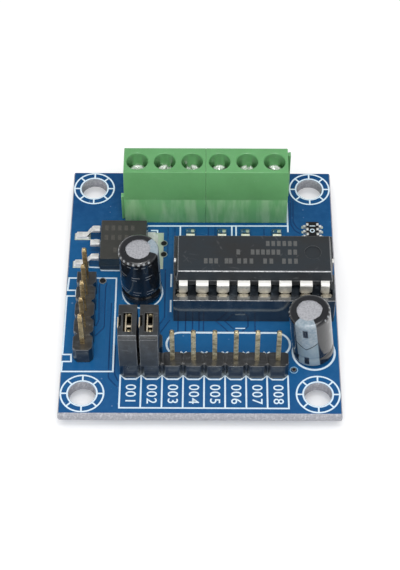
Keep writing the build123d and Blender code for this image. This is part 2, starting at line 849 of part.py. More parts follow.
def main():
    os.makedirs("parts", exist_ok=True)
    save("circuit_board", circuit_board())
    save("surface_pads", surface_pads())
    save("solder_joints", solder_joints())
    save("input_header_strip", input_header_strip())
    save("input_header_pins", header_pins(input_places()))
    save("enable_header_strip", enable_header_strip())
    save("enable_header_pins", header_pins(enable_places()))
    save("side_header_strip", side_header_strip())
    save("side_header_pins", header_pins(side_places()))
    for side, place in zip(("left", "right"), enable_places()):
        save(f"jumper_cap_{side}", jumper_cap(place.position.X))
        save(f"jumper_contact_{side}", jumper_contact(place.position.X))
    way = 0
    for side, centre_x in zip(("left", "right"), block_centres()):
        save(f"terminal_housing_{side}", terminal_housing(centre_x))
        save(f"terminal_contacts_{side}", terminal_contacts(centre_x))
        for x in way_places(centre_x):
            way += 1
            save(f"terminal_screw_{way}", terminal_screw(x))
            save(f"terminal_clamp_{way}", terminal_clamp(x))
    save("chip_socket", chip_socket())
    save("socket_contacts", socket_contacts())
    save("driver_chip", driver_chip())
    save("driver_chip_leads", chip_leads() + chip_tie_bars())
    save("regulator_body", regulator_body())
    save("regulator_tab", regulator_tab())
    save("regulator_leads", regulator_leads())
    for side, x, y, lean in (
        ("left", left_can_x, left_can_y, left_can_lean),
        ("right", right_can_x, right_can_y, right_can_lean),
    ):
        save(f"capacitor_{side}_can", capacitor_can(x, y, lean))
        save(f"capacitor_{side}_sleeve", capacitor_sleeve(x, y, lean))
        save(f"capacitor_{side}_bung", capacitor_bung(x, y, lean))
        save(f"capacitor_{side}_leads", capacitor_leads(x, y, lean))
    save("resistor_network_body", network_body())
    save("resistor_network_ends", network_caps())
    for index, x in enumerate(lamp_places(), start=1):
        save(f"indicator_{index}_base", lamp_base(x))
        save(f"indicator_{index}_lens", lamp_lens(x))
        save(f"indicator_{index}_ends", lamp_ends(x))


main()
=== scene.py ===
import json
import logging
import math
from dataclasses import dataclass, field
from enum import Enum
from functools import lru_cache
from typing import Callable, Optional, Sequence, Union

import bmesh
import bpy
from mathutils import Matrix, Vector

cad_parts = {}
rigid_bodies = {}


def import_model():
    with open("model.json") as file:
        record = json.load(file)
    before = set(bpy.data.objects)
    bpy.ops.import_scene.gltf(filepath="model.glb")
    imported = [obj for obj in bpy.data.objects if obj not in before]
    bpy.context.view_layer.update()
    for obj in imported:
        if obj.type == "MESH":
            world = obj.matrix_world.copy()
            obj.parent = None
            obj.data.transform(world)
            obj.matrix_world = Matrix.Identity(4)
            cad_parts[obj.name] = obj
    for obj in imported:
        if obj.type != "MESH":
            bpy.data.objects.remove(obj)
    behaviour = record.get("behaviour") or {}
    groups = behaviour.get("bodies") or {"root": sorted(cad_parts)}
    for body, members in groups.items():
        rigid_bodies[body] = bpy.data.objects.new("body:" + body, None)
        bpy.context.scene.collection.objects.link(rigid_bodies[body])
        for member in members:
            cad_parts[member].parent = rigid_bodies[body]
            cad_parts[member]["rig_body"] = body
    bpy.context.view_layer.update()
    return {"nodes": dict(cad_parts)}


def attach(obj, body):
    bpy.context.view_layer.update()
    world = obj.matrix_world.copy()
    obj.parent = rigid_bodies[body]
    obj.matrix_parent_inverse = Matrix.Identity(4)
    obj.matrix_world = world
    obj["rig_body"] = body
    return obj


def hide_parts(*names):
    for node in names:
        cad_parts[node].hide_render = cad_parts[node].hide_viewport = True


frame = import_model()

log = logging.getLogger("driver_module")

MM = 0.001
DECK = 1.6
PAD_TOP = 1.7
STRIP_TOP = 4.14
WEAR_AND_HIGHLIGHT_EDGE = "wear_and_highlight_edge"
FROM_AXIS = "from_axis"
POLISHED = "polished"
IN_SHADE = "in_shade"

Colour = tuple[float, float, float]
Point = tuple[float, float]
WearAndHighlight = Callable[[Vector], float]
Shape = bmesh.types.BMesh
Socket = bpy.types.NodeSocket


class Slot(str, Enum):
    """The record's material slots."""

    MASK = "solder_mask"
    TIN = "tin"
    BRASS = "pale_brass"
    NYLON = "black_nylon"
    CAP = "cap_plastic"
    BRONZE = "spring_bronze"
    GREEN = "green_plastic"
    STEEL = "screw_steel"
    CLAMP = "clamp_brass"
    SOCKET = "socket_plastic"
    EPOXY = "chip_epoxy"
    CAN = "can_aluminium"
    SLEEVE = "sleeve_film"
    RUBBER = "bung_rubber"
    REGULATOR = "regulator_epoxy"
    CERAMIC = "ceramic_body"
    CARRIER = "lamp_carrier"
    LENS = "lamp_lens"


def srgb(red: int, green: int, blue: int) -> Colour:
    """A colour written as the eye sees it, turned to linear light.

    Args:
        red: The red part, 0 to 255.
        green: The green part, 0 to 255.
        blue: The blue part, 0 to 255.

    Returns:
        The three linear parts, 0 to 1.
    """
    def straight(part: int) -> float:
        """One part in linear light."""
        share = part / 255
        return share / 12.92 if share <= 0.04045 else ((share + 0.055) / 1.055) ** 2.4
    return (straight(red), straight(green), straight(blue))


# Node trees

class Graph:
    """A node tree while it is being written."""

    def __init__(self, tree: bpy.types.NodeTree) -> None:
        """Starts on an empty tree.

        Args:
            tree: The tree of a material, a world or a node group.
        """
        self.tree = tree
        self.tree.nodes.clear()

    def add(self, kind: str, inputs: Optional[dict] = None, **settings: object) -> bpy.types.Node:
        """Adds a node.

        Args:
            kind: The node's type, without its ShaderNode prefix.
            inputs: Values or output sockets for its inputs, by name or number.
            **settings: Properties of the node itself.

        Returns:
            The new node.
        """
        node = self.tree.nodes.new("ShaderNode" + kind)
        for name, value in settings.items():
            setattr(node, name, value)
        for name, value in (inputs or {}).items():
            self.feed(value, node.inputs[name])
        return node

    def feed(self, value: object, socket: Socket) -> None:
        """Links a socket or sets a plain value.

        Args:
            value: An output socket, a number or a colour.
            socket: The input that takes it.
        """
        if isinstance(value, bpy.types.NodeSocket):
            self.tree.links.new(value, socket)
        elif socket.type == "RGBA" and len(value) == 3:
            socket.default_value = (*value, 1.0)
        else:
            socket.default_value = value

    def place(self) -> Socket:
        """The point on the object, in metres."""
        return self.add("TexCoord").outputs["Object"]

    def axes(self, where: Socket) -> tuple[Socket, Socket, Socket]:
        """The three parts of a vector."""
        parts = self.add("SeparateXYZ", {"Vector": where}).outputs
        return parts["X"], parts["Y"], parts["Z"]

    def maths(self, operation: str, *values: object, clamp: bool = False) -> Socket:
        """A Math node's result.

        Args:
            operation: The name of the operation.
            *values: Its inputs in order, as numbers or sockets.
            clamp: Whether the result is held between 0 and 1.

        Returns:
            The result's socket.
        """
        node = self.add("Math", operation=operation, use_clamp=clamp)
        for value, socket in zip(values, node.inputs):
            self.feed(value, socket)
        return node.outputs[0]

    def blend(self, share: object, first: object, second: object) -> Socket:
        """A mix of two colours.

        Args:
            share: How much of the second shows, 0 to 1.
            first: The colour at 0.
            second: The colour at 1.

        Returns:
            The mixed colour's socket.
        """
        node = self.add("Mix", data_type="RGBA", clamp_factor=True)
        for value, name in ((share, "Factor_Float"), (first, "A_Color"), (second, "B_Color")):
            self.feed(value, next(socket for socket in node.inputs if socket.identifier == name))
        return node.outputs[2]

    def span(self, value: object, low: float, high: float, start: object = 0.0, end: object = 1.0) -> Socket:
        """A value moved from one range to another, and held there.

        Args:
            value: The socket that is read.
            low: The value that gives start.
            high: The value that gives end.
            start: The result at low.
            end: The result at high.

        Returns:
            The result's socket.
        """
        return self.add("MapRange", {"Value": value, "From Min": low, "From Max": high,
                                     "To Min": start, "To Max": end}).outputs["Result"]

    def near(self, value: object, level: float, reach: float, soft: float) -> Socket:
        """1 where a value is within reach of a level, falling to 0 over soft."""
        away = self.maths("ABSOLUTE", self.maths("SUBTRACT", value, level))
        return self.span(away, reach - soft, reach + soft, 1.0, 0.0)

    def noise(self, size: float, where: object, detail: float = 4.0, rough: float = 0.55) -> Socket:
        """Soft noise.

        Args:
            size: The size of its largest patches in mm.
            where: The coordinates that it follows.
            detail: How many finer layers it has.
            rough: How strong the finer layers are.

        Returns:
            Its value, 0 to 1.
        """
        return self.add("TexNoise", {"Vector": where, "Scale": 1 / (size * MM), "Detail": detail,
                                     "Roughness": rough}).outputs["Fac"]

    def stretched(self, where: object, scale: Sequence[float], turn: Sequence[float] = (0, 0, 0)) -> Socket:
        """Coordinates scaled and turned, for streaks.

        Args:
            where: The coordinates.
            scale: The scale along X, Y and Z.
            turn: The turn about X, Y and Z in radians.

        Returns:
            The new coordinates.
        """
        return self.add("Mapping", {"Vector": where, "Scale": tuple(scale), "Rotation": tuple(turn)}).outputs["Vector"]

    def use(self, kind: "Effect", where: object, size: float, amount: float = 1.0) -> bpy.types.Node:
        """Places a shared effect.

        Args:
            kind: Which effect.
            where: The coordinates that it follows.
            size: The size of its marks in mm.
            amount: How strong its mask is.

        Returns:
            The group's node.
        """
        node = self.add("Group", node_tree=effect(kind))
        for name, value in (("Place", where), ("Scale", 1 / (size * MM)), ("Amount", amount)):
            self.feed(value, node.inputs[name])
        return node


class Recipe(Graph):
    """A material's node tree with its Principled shader."""

    def __init__(self, name: str) -> None:
        """Makes the material.

        Args:
            name: The finish's name.
        """
        self.material = bpy.data.materials.new(name)
        self.material.use_nodes = True
        super().__init__(self.material.node_tree)
        self.surface = self.add("BsdfPrincipled")
        output = self.add("OutputMaterial")
        self.tree.links.new(self.surface.outputs["BSDF"], output.inputs["Surface"])

    def set(self, **sockets: object) -> None:
        """Sets or links the shader's sockets.

        Args:
            **sockets: Values or sockets, by the socket's name with _ for a space.
        """
        for name, value in sockets.items():
            self.feed(value, self.surface.inputs[name.replace("_", " ")])

    def relief(self, height: object, depth: float, strength: float = 1.0) -> None:
        """Gives the surface a bump.

        Args:
            height: The height's socket, 0 to 1.
            depth: The depth of the full height in mm.
            strength: The bump's strength.
        """
        node = self.add("Bump", {"Height": height, "Distance": depth * MM, "Strength": strength})
        self.feed(node.outputs["Normal"], self.surface.inputs["Normal"])


class Effect(Enum):
    """The effects that several finishes share."""

    GRAIN = "fine_grain"
    SCUFFS = "light_scuffs"
    DUST = "dust_specks"
    WEAR_AND_HIGHLIGHT = "edge_wear"


def new_group(name: str) -> tuple[Graph, bpy.types.Node, bpy.types.Node]:
    """An empty effect group with its named sockets.

    Args:
        name: The group's name.

    Returns:
        The group's graph, its input node and its output node.
    """
    tree = bpy.data.node_groups.new(name, "ShaderNodeTree")
    tree.interface.new_socket("Place", in_out="INPUT", socket_type="NodeSocketVector")
    for label, default in (("Scale", 1000.0), ("Amount", 1.0)):
        tree.interface.new_socket(label, in_out="INPUT", socket_type="NodeSocketFloat").default_value = default
    for label in ("Mask", "Height"):
        tree.interface.new_socket(label, in_out="OUTPUT", socket_type="NodeSocketFloat")
    graph = Graph(tree)
    return graph, tree.nodes.new("NodeGroupInput"), tree.nodes.new("NodeGroupOutput")


@lru_cache(maxsize=None)
def effect(kind: Effect) -> bpy.types.NodeTree:
    """The node group of a shared effect, built once.

    Args:
        kind: Which effect.

    Returns:
        The group, which puts out values from 0 to 1.
    """
    graph, start, end = new_group(kind.value)
    place, scale, amount = (start.outputs[name] for name in ("Place", "Scale", "Amount"))

    def cloud(share: float, detail: float, rough: float = 0.55) -> Socket:
        """Noise at a share of the effect's scale."""
        size = graph.maths("MULTIPLY", scale, share)
        return graph.add("TexNoise", {"Vector": place, "Scale": size, "Detail": detail, "Roughness": rough}).outputs["Fac"]

    if kind is Effect.GRAIN:
        coarse = cloud(1.0, 5.0, 0.7)
        cells = graph.add("TexVoronoi", {"Vector": place, "Scale": scale}, feature="F1")
        height = graph.maths("MULTIPLY_ADD", cells.outputs["Distance"], 0.4, coarse)
        mask = graph.span(coarse, 0.35, 0.65)
    elif kind is Effect.SCUFFS:
        strokes: object = 0.0
        for turn in ((0.2, 0.1, 0.5), (-0.3, 0.2, -0.9), (0.1, 0.4, 1.4)):
            along = graph.add("Mapping", {"Vector": place, "Scale": (1.0, 16.0, 1.0), "Rotation": turn}, vector_type="TEXTURE")
            size = graph.maths("MULTIPLY", scale, 4.0)
            line = graph.add("TexNoise", {"Vector": along.outputs["Vector"], "Scale": size, "Detail": 1.0})
            strokes = graph.maths("MAXIMUM", strokes, graph.span(line.outputs["Fac"], 0.68, 0.74))
        mask = graph.maths("MULTIPLY", strokes, graph.span(cloud(0.7, 3.0), 0.46, 0.6))
        height = graph.maths("SUBTRACT", 1.0, mask)
    elif kind is Effect.DUST:
        specks = graph.add("TexVoronoi", {"Vector": place, "Scale": scale, "Randomness": 1.0}, feature="F1")
        chosen = graph.add("SeparateColor", {"Color": specks.outputs["Color"]}).outputs["Red"]
        size = graph.span(chosen, 0.8, 1.0, 0.0, 0.22)
        mask = graph.span(graph.maths("SUBTRACT", size, specks.outputs["Distance"]), 0.0, 0.05)
        height = mask
    else:
        worn = graph.add("Attribute", attribute_name=WEAR_AND_HIGHLIGHT_EDGE).outputs["Fac"]
        broken = graph.span(cloud(1.0, 5.0, 0.7), 0.38, 0.56)
        mask = graph.maths("MULTIPLY", worn, graph.maths("MULTIPLY_ADD", broken, 0.75, 0.25))
        height = broken
    graph.feed(graph.maths("MULTIPLY", mask, amount, clamp=True), end.inputs["Mask"])
    graph.feed(height, end.inputs["Height"])
    return graph.tree


# Finishes

@dataclass(frozen=True)
class MouldedPlastic:
    """A moulded plastic or resin, from matt to glossy, with paler edges that are worn, and on some front edges a
    painted highlight.

    Sizes are in mm. The shade is the colour of its darker patches. Above polish_above the surface keeps its
    roughness, and below it the surface is polished.
    """

    name: str
    colour: Colour
    shade: Colour
    roughness: float = 0.4
    spread: float = 0.08
    gloss: float = 0.5
    edge: Optional[Colour] = None
    wear: float = 0.6
    grain: float = 0.05
    grain_depth: float = 0.002
    patches: float = 3.0
    scuffs: float = 0.3
    scuff_size: float = 1.4
    streaks: float = 0.0
    dust: float = 0.0
    coat: float = 0.0
    glow: float = 0.0
    polish_below: Optional[float] = None
    polish: float = 0.38
    lower: Optional[Colour] = None
    painted_reflection_streaks: float = 0.0
    hole_gloss: float = 0.0
    painted_reflections: float = 0.0
    reflection_tint: Colour = srgb(96, 108, 118)

    def material(self) -> bpy.types.Material:
        """Builds the material."""
        recipe = Recipe(self.name)
        where = recipe.place()
        cloud = recipe.noise(self.patches, where)
        grain = recipe.use(Effect.GRAIN, where, self.grain).outputs["Height"]
        scuffs = recipe.use(Effect.SCUFFS, where, self.scuff_size, self.scuffs).outputs["Mask"]
        dust = recipe.use(Effect.DUST, where, 0.45, self.dust).outputs["Mask"]
        worn = recipe.use(Effect.WEAR_AND_HIGHLIGHT, where, 0.16, self.wear).outputs["Mask"]
        pale = self.edge or tuple(min(1.0, part * 1.7 + 0.04) for part in self.colour)
        tone = recipe.blend(recipe.span(cloud, 0.35, 0.65), self.colour, self.shade)
        # painted light and reflections: below polish_below the colour turns to the lower colour, and pale streaks are
        # painted there as reflections
        if self.lower:
            height = recipe.axes(where)[2]
            under = recipe.span(height, (self.polish_below - 0.05) * MM, (self.polish_below + 0.05) * MM, 1.0, 0.0)
            tone = recipe.blend(under, tone, self.lower)
            drawn = recipe.noise(1.5, recipe.stretched(where, (1.0, 1.0, 0.14)), detail=5.0, rough=0.6)
            drawn = recipe.span(drawn, 0.46, 0.62, 0.0, self.painted_reflection_streaks)
            tone = recipe.blend(recipe.maths("MULTIPLY", drawn, under), tone, srgb(176, 214, 172))
        if self.streaks:
            drawn = recipe.noise(0.35, recipe.stretched(where, (0.16, 1.0, 1.3)), detail=3.0)
            tone = recipe.blend(recipe.span(drawn, 0.5, 0.68, 0.0, self.streaks), tone, pale)
        # painted reflections: bluish-grey smears stretched upright
        if self.painted_reflections:
            hung = recipe.noise(1.2, recipe.stretched(where, (1.0, 1.0, 0.5)), detail=6.0, rough=0.65)
            tone = recipe.blend(recipe.span(hung, 0.46, 0.7, 0.0, self.painted_reflections), tone, self.reflection_tint)
        tone = recipe.blend(recipe.maths("MULTIPLY", scuffs, 0.5), tone, pale)
        # paler edges: worn, and painted highlights and reflections where a piece's rule puts them
        tone = recipe.blend(worn, tone, pale)
        tone = recipe.blend(dust, tone, srgb(186, 186, 182))
        shade = recipe.add("Attribute", attribute_name=IN_SHADE).outputs["Fac"]
        tone = recipe.blend(recipe.maths("MULTIPLY", shade, 0.85), tone, srgb(6, 7, 9))
        rough = recipe.span(cloud, 0.3, 0.7, self.roughness - self.spread, self.roughness + self.spread)
        if self.polish_below is not None:
            height = recipe.axes(where)[2]
            kept = recipe.span(height, (self.polish_below - 0.05) * MM, (self.polish_below + 0.05) * MM, self.polish, 1.0)
            rough = recipe.maths("MULTIPLY", rough, kept)
        if self.hole_gloss:
            inside = recipe.add("Attribute", attribute_name=POLISHED).outputs["Fac"]
            rough = recipe.maths("MULTIPLY", rough, recipe.span(inside, 0.0, 1.0, 1.0, 1.0 - self.hole_gloss))
        rough = recipe.maths("MULTIPLY_ADD", recipe.maths("MAXIMUM", scuffs, worn), 0.22, rough)
        recipe.set(Base_Color=tone, Roughness=rough, Specular_IOR_Level=self.gloss, Coat_Weight=self.coat,
                   Coat_Roughness=0.08, Subsurface_Weight=self.glow, Subsurface_Scale=0.6 * MM,
                   Subsurface_Radius=(0.6, 1.0, 0.5))
        recipe.relief(recipe.maths("MULTIPLY_ADD", scuffs, -1.5, grain), self.grain_depth)
        return recipe.material


@dataclass(frozen=True)
class PlatedMetal:
    """Plated, drawn or tinned metal, brighter where its edges are worn, with painted shade below one height and a
    painted highlight above another. Sizes are in mm.
    """

    name: str
    colour: Colour
    tarnish: Colour
    roughness: float = 0.3
    spread: float = 0.1
    patches: float = 0.8
    grain: float = 0.08
    grain_depth: float = 0.003
    tarnish_share: float = 0.5
    streaks: tuple[float, float, float] = (1.0, 1.0, 1.0)
    ring_pitch: float = 0.0
    metal: float = 1.0
    painted_shade_below: Optional[float] = None
    painted_shade_left_of: float = 100.0
    painted_highlight_above: Optional[float] = None

    def material(self) -> bpy.types.Material:
        """Builds the material."""
        recipe = Recipe(self.name)
        where = recipe.place()
        along = recipe.stretched(where, self.streaks)
        cloud = recipe.noise(self.patches, along, detail=6.0, rough=0.65)
        height = recipe.use(Effect.GRAIN, along, self.grain).outputs["Height"]
        worn = recipe.use(Effect.WEAR_AND_HIGHLIGHT, where, 0.2, 0.5).outputs["Mask"]
        tone = recipe.blend(recipe.span(cloud, 0.42, 0.62, 0.0, self.tarnish_share), self.colour, self.tarnish)
        tone = recipe.blend(worn, tone, tuple(min(0.95, part * 1.15) for part in self.colour))
        across, _, level = recipe.axes(where)
        metal: object = self.metal
        # painted shade: below that height, and left of that x, the metal is painted dark brown
        if self.painted_shade_below is not None:
            deep = recipe.span(level, (self.painted_shade_below - 0.3) * MM, self.painted_shade_below * MM, 0.96, 0.0)
            left = recipe.span(across, self.painted_shade_left_of * MM, (self.painted_shade_left_of + 0.1) * MM, 1.0, 0.0)
            tone = recipe.blend(recipe.maths("MULTIPLY", deep, left), tone, srgb(22, 16, 10))
        # painted highlight: above that height the metal is painted near white and made less metallic
        if self.painted_highlight_above is not None:
            bright = recipe.span(level, (self.painted_highlight_above - 0.06) * MM, (self.painted_highlight_above + 0.06) * MM)
            tone = recipe.blend(bright, tone, srgb(252, 251, 246))
            metal = recipe.span(bright, 0.0, 1.0, self.metal, 0.1)
        rough = recipe.span(cloud, 0.32, 0.68, self.roughness - self.spread, self.roughness + self.spread)
        if self.ring_pitch:
            out = recipe.add("Attribute", attribute_name=FROM_AXIS).outputs["Fac"]
            rings = recipe.maths("SINE", recipe.maths("MULTIPLY", out, 2 * math.pi / self.ring_pitch))
            height = recipe.maths("MULTIPLY_ADD", rings, 0.5, height)
        recipe.set(Base_Color=tone, Metallic=metal, Roughness=rough)
        recipe.relief(height, self.grain_depth)
        return recipe.material


@dataclass(frozen=True)
class LacqueredBoard:
    """The board: blue lacquer on its two faces and bare laminate on its cut edges and in its holes; the blue is painted
    lighter at the front and in the middle among the parts, and darker to the back, as light.
    """

    name: str = "lacquered_board"
    front: Colour = srgb(28, 86, 140)
    centre: Colour = srgb(22, 96, 150)
    back: Colour = srgb(10, 64, 114)
    laminate: Colour = srgb(190, 191, 198)
    fibre: Colour = srgb(140, 141, 150)

    def material(self) -> bpy.types.Material:
        """Builds the material."""
        recipe = Recipe(self.name)
        where = recipe.place()
        _, depth, height = recipe.axes(where)
        top = recipe.span(height, (DECK - 0.02) * MM, (DECK - 0.01) * MM)
        low = recipe.span(height, 0.01 * MM, 0.02 * MM, 1.0, 0.0)
        lacquer = recipe.maths("MAXIMUM", top, low)
        cloud = recipe.noise(7.0, where, detail=4.0)
        # painted light: the blue is lighter at the front and in the middle among the parts, and darker to the back
        share = recipe.maths("MULTIPLY_ADD", recipe.span(depth, -1 * MM, 17 * MM), 0.8,
                             recipe.span(cloud, 0.35, 0.65, 0.0, 0.2))
        blue = recipe.blend(share, recipe.blend(recipe.span(depth, -16 * MM, -8 * MM), self.front, self.centre), self.back)
        flow = recipe.noise(0.9, where, detail=5.0, rough=0.6)
        blue = recipe.blend(recipe.span(flow, 0.4, 0.7, 0.0, 0.16), blue, srgb(54, 116, 166))
        dust = recipe.use(Effect.DUST, where, 0.7, 0.3).outputs["Mask"]
        blue = recipe.blend(dust, blue, srgb(140, 172, 205))
        layers = recipe.noise(0.14, recipe.stretched(where, (0.3, 0.3, 2.5)), detail=5.0, rough=0.7)
        streaks = recipe.noise(0.35, recipe.stretched(where, (1.6, 1.6, 0.5), (0.5, 0.5, 0)), detail=5.0, rough=0.75)
        bare = recipe.blend(recipe.span(layers, 0.4, 0.62), self.laminate, self.fibre)
        bare = recipe.blend(recipe.span(streaks, 0.5, 0.66, 0.0, 0.55), bare, srgb(228, 228, 232))
        recipe.set(Base_Color=recipe.blend(lacquer, bare, blue), Specular_IOR_Level=0.3,
                   Roughness=recipe.span(lacquer, 0.0, 1.0, 0.75, 0.22))
        smooth = recipe.maths("MULTIPLY", lacquer, recipe.noise(0.5, where, detail=2.0))
        torn = recipe.maths("MULTIPLY", recipe.maths("SUBTRACT", 1.0, lacquer), recipe.maths("MULTIPLY", streaks, 10.0))
        recipe.relief(recipe.maths("ADD", smooth, torn), 0.003)
        return recipe.material


@dataclass(frozen=True)
class Ink:
    """Printed or burnt marks, and the painted shade of the vias, a little uneven."""

    name: str
    colour: Colour
    shade: Colour
    roughness: float = 0.55
    gloss: float = 0.3

    def material(self) -> bpy.types.Material:
        """Builds the material."""
        recipe = Recipe(self.name)
        where = recipe.place()
        fine = recipe.noise(0.14, where, detail=4.0)
        rough = recipe.span(fine, 0.3, 0.7, self.roughness - 0.1, self.roughness + 0.1)
        recipe.set(Base_Color=recipe.blend(recipe.span(fine, 0.42, 0.78), self.colour, self.shade), Roughness=rough,
                   Specular_IOR_Level=self.gloss)
        recipe.relief(fine, 0.002)
        return recipe.material


@dataclass(frozen=True)
class SleeveFilm:
    """Shrunk film round a capacitor, with a pale stripe and plain marks, laid out on the piece's own UV map.

    Widths round the can are in turns, and heights are shares of the sleeve's height.
    """

    name: str
    stripe: float
    width: float = 0.175
    dark_bars: tuple[Point, ...] = ((-0.001, 0.805), (-0.014, 0.12))
    chevron: Point = (-0.008, 0.411)
    slope: float = 1.53
    film: Colour = srgb(27, 29, 33)
    pale: Colour = srgb(160, 172, 181)
    dashes: Colour = srgb(170, 174, 178)

    def material(self) -> bpy.types.Material:
        """Builds the material."""
        recipe = Recipe(self.name)
        where = recipe.place()
        turn, rise, _ = recipe.axes(recipe.add("UVMap").outputs["UV"])
        off = recipe.maths("SUBTRACT", turn, self.stripe)
        off = recipe.maths("SUBTRACT", off, recipe.maths("ROUND", off))
        away = recipe.maths("ABSOLUTE", off)
        band = recipe.near(away, 0.0, self.width / 2, 0.003)
        mark: object = 0.0
        for shift, level in self.dark_bars:
            bar = recipe.maths("MULTIPLY", recipe.near(off, shift, 0.02, 0.003), recipe.near(rise, level, 0.088, 0.012))
            mark = recipe.maths("MAXIMUM", mark, bar)
        arms = recipe.maths("ABSOLUTE", recipe.maths("SUBTRACT", off, self.chevron[0]))
        over = recipe.maths("SUBTRACT", rise, recipe.maths("MULTIPLY_ADD", arms, self.slope, self.chevron[1]))
        mark = recipe.maths("MAXIMUM", mark, recipe.maths("MULTIPLY", recipe.near(over, 0.0, 0.011, 0.004), 0.9))
        band = recipe.maths("MULTIPLY", band, recipe.maths("SUBTRACT", 1.0, mark), clamp=True)
        cloud = recipe.noise(0.3, where, detail=5.0, rough=0.7)
        tone = recipe.blend(self.rows(recipe, turn, rise, away), self.film, self.dashes)
        stripe = recipe.blend(recipe.span(cloud, 0.4, 0.62), self.pale, srgb(132, 150, 162))
        tone = recipe.blend(band, tone, recipe.blend(recipe.span(over, -0.01, 0.01, 0.75, 0.0), stripe, srgb(128, 148, 160)))
        recipe.set(Base_Color=tone, Roughness=recipe.span(cloud, 0.3, 0.7, 0.13, 0.22), Coat_Weight=0.4, Coat_Roughness=0.06)
        recipe.relief(recipe.noise(1.1, recipe.stretched(where, (1.0, 1.0, 0.5)), detail=5.0, rough=0.5), 0.03)
        return recipe.material

    @staticmethod
    def rows(recipe: Recipe, turn: Socket, rise: Socket, away: Socket) -> Socket:
        """Rows of short plain dashes round the dark part.

        Args:
            recipe: The material that they go in.
            turn: The way round the sleeve, in turns.
            rise: The height on the sleeve, 0 to 1.
            away: The distance from the stripe's middle, in turns.

        Returns:
            Their mask.
        """
        mask: object = 0.0
        for level, height, count, full in ((0.972, 0.014, 23.0, 0.6), (0.9, 0.007, 17.0, 0.75), (0.66, 0.007, 9.0, 0.8),
                                           (0.6, 0.007, 9.0, 0.55),
                                           (0.3, 0.007, 9.0, 0.8), (0.24, 0.007, 9.0, 0.65)):
            beat = recipe.maths("FRACT", recipe.maths("MULTIPLY", turn, count))
            dash = recipe.maths("MULTIPLY", recipe.span(beat, 0.2, 0.24), recipe.span(beat, full, full + 0.04, 1.0, 0.0))
            row = recipe.maths("MULTIPLY", recipe.near(rise, level, height, 0.006), dash)
            mask = recipe.maths("MAXIMUM", mask, row)
        return recipe.maths("MULTIPLY", mask, recipe.span(away, 0.17, 0.175, 0.0, 0.75))


@dataclass(frozen=True)
class LampResin:
    """Clear tinted resin over a lamp."""

    name: str = "lamp_resin"
    tint: Colour = srgb(74, 120, 152)

    def material(self) -> bpy.types.Material:
        """Builds the material."""
        recipe = Recipe(self.name)
        where = recipe.place()
        cloud = recipe.noise(0.4, where)
        recipe.set(Base_Color=recipe.blend(recipe.span(cloud, 0.4, 0.6), self.tint, srgb(56, 100, 136)),
                   Roughness=recipe.span(cloud, 0.3, 0.7, 0.08, 0.18), Transmission_Weight=0.35, IOR=1.5,
                   Subsurface_Weight=0.3, Subsurface_Scale=0.4 * MM)
        recipe.relief(cloud, 0.004)
        return recipe.material


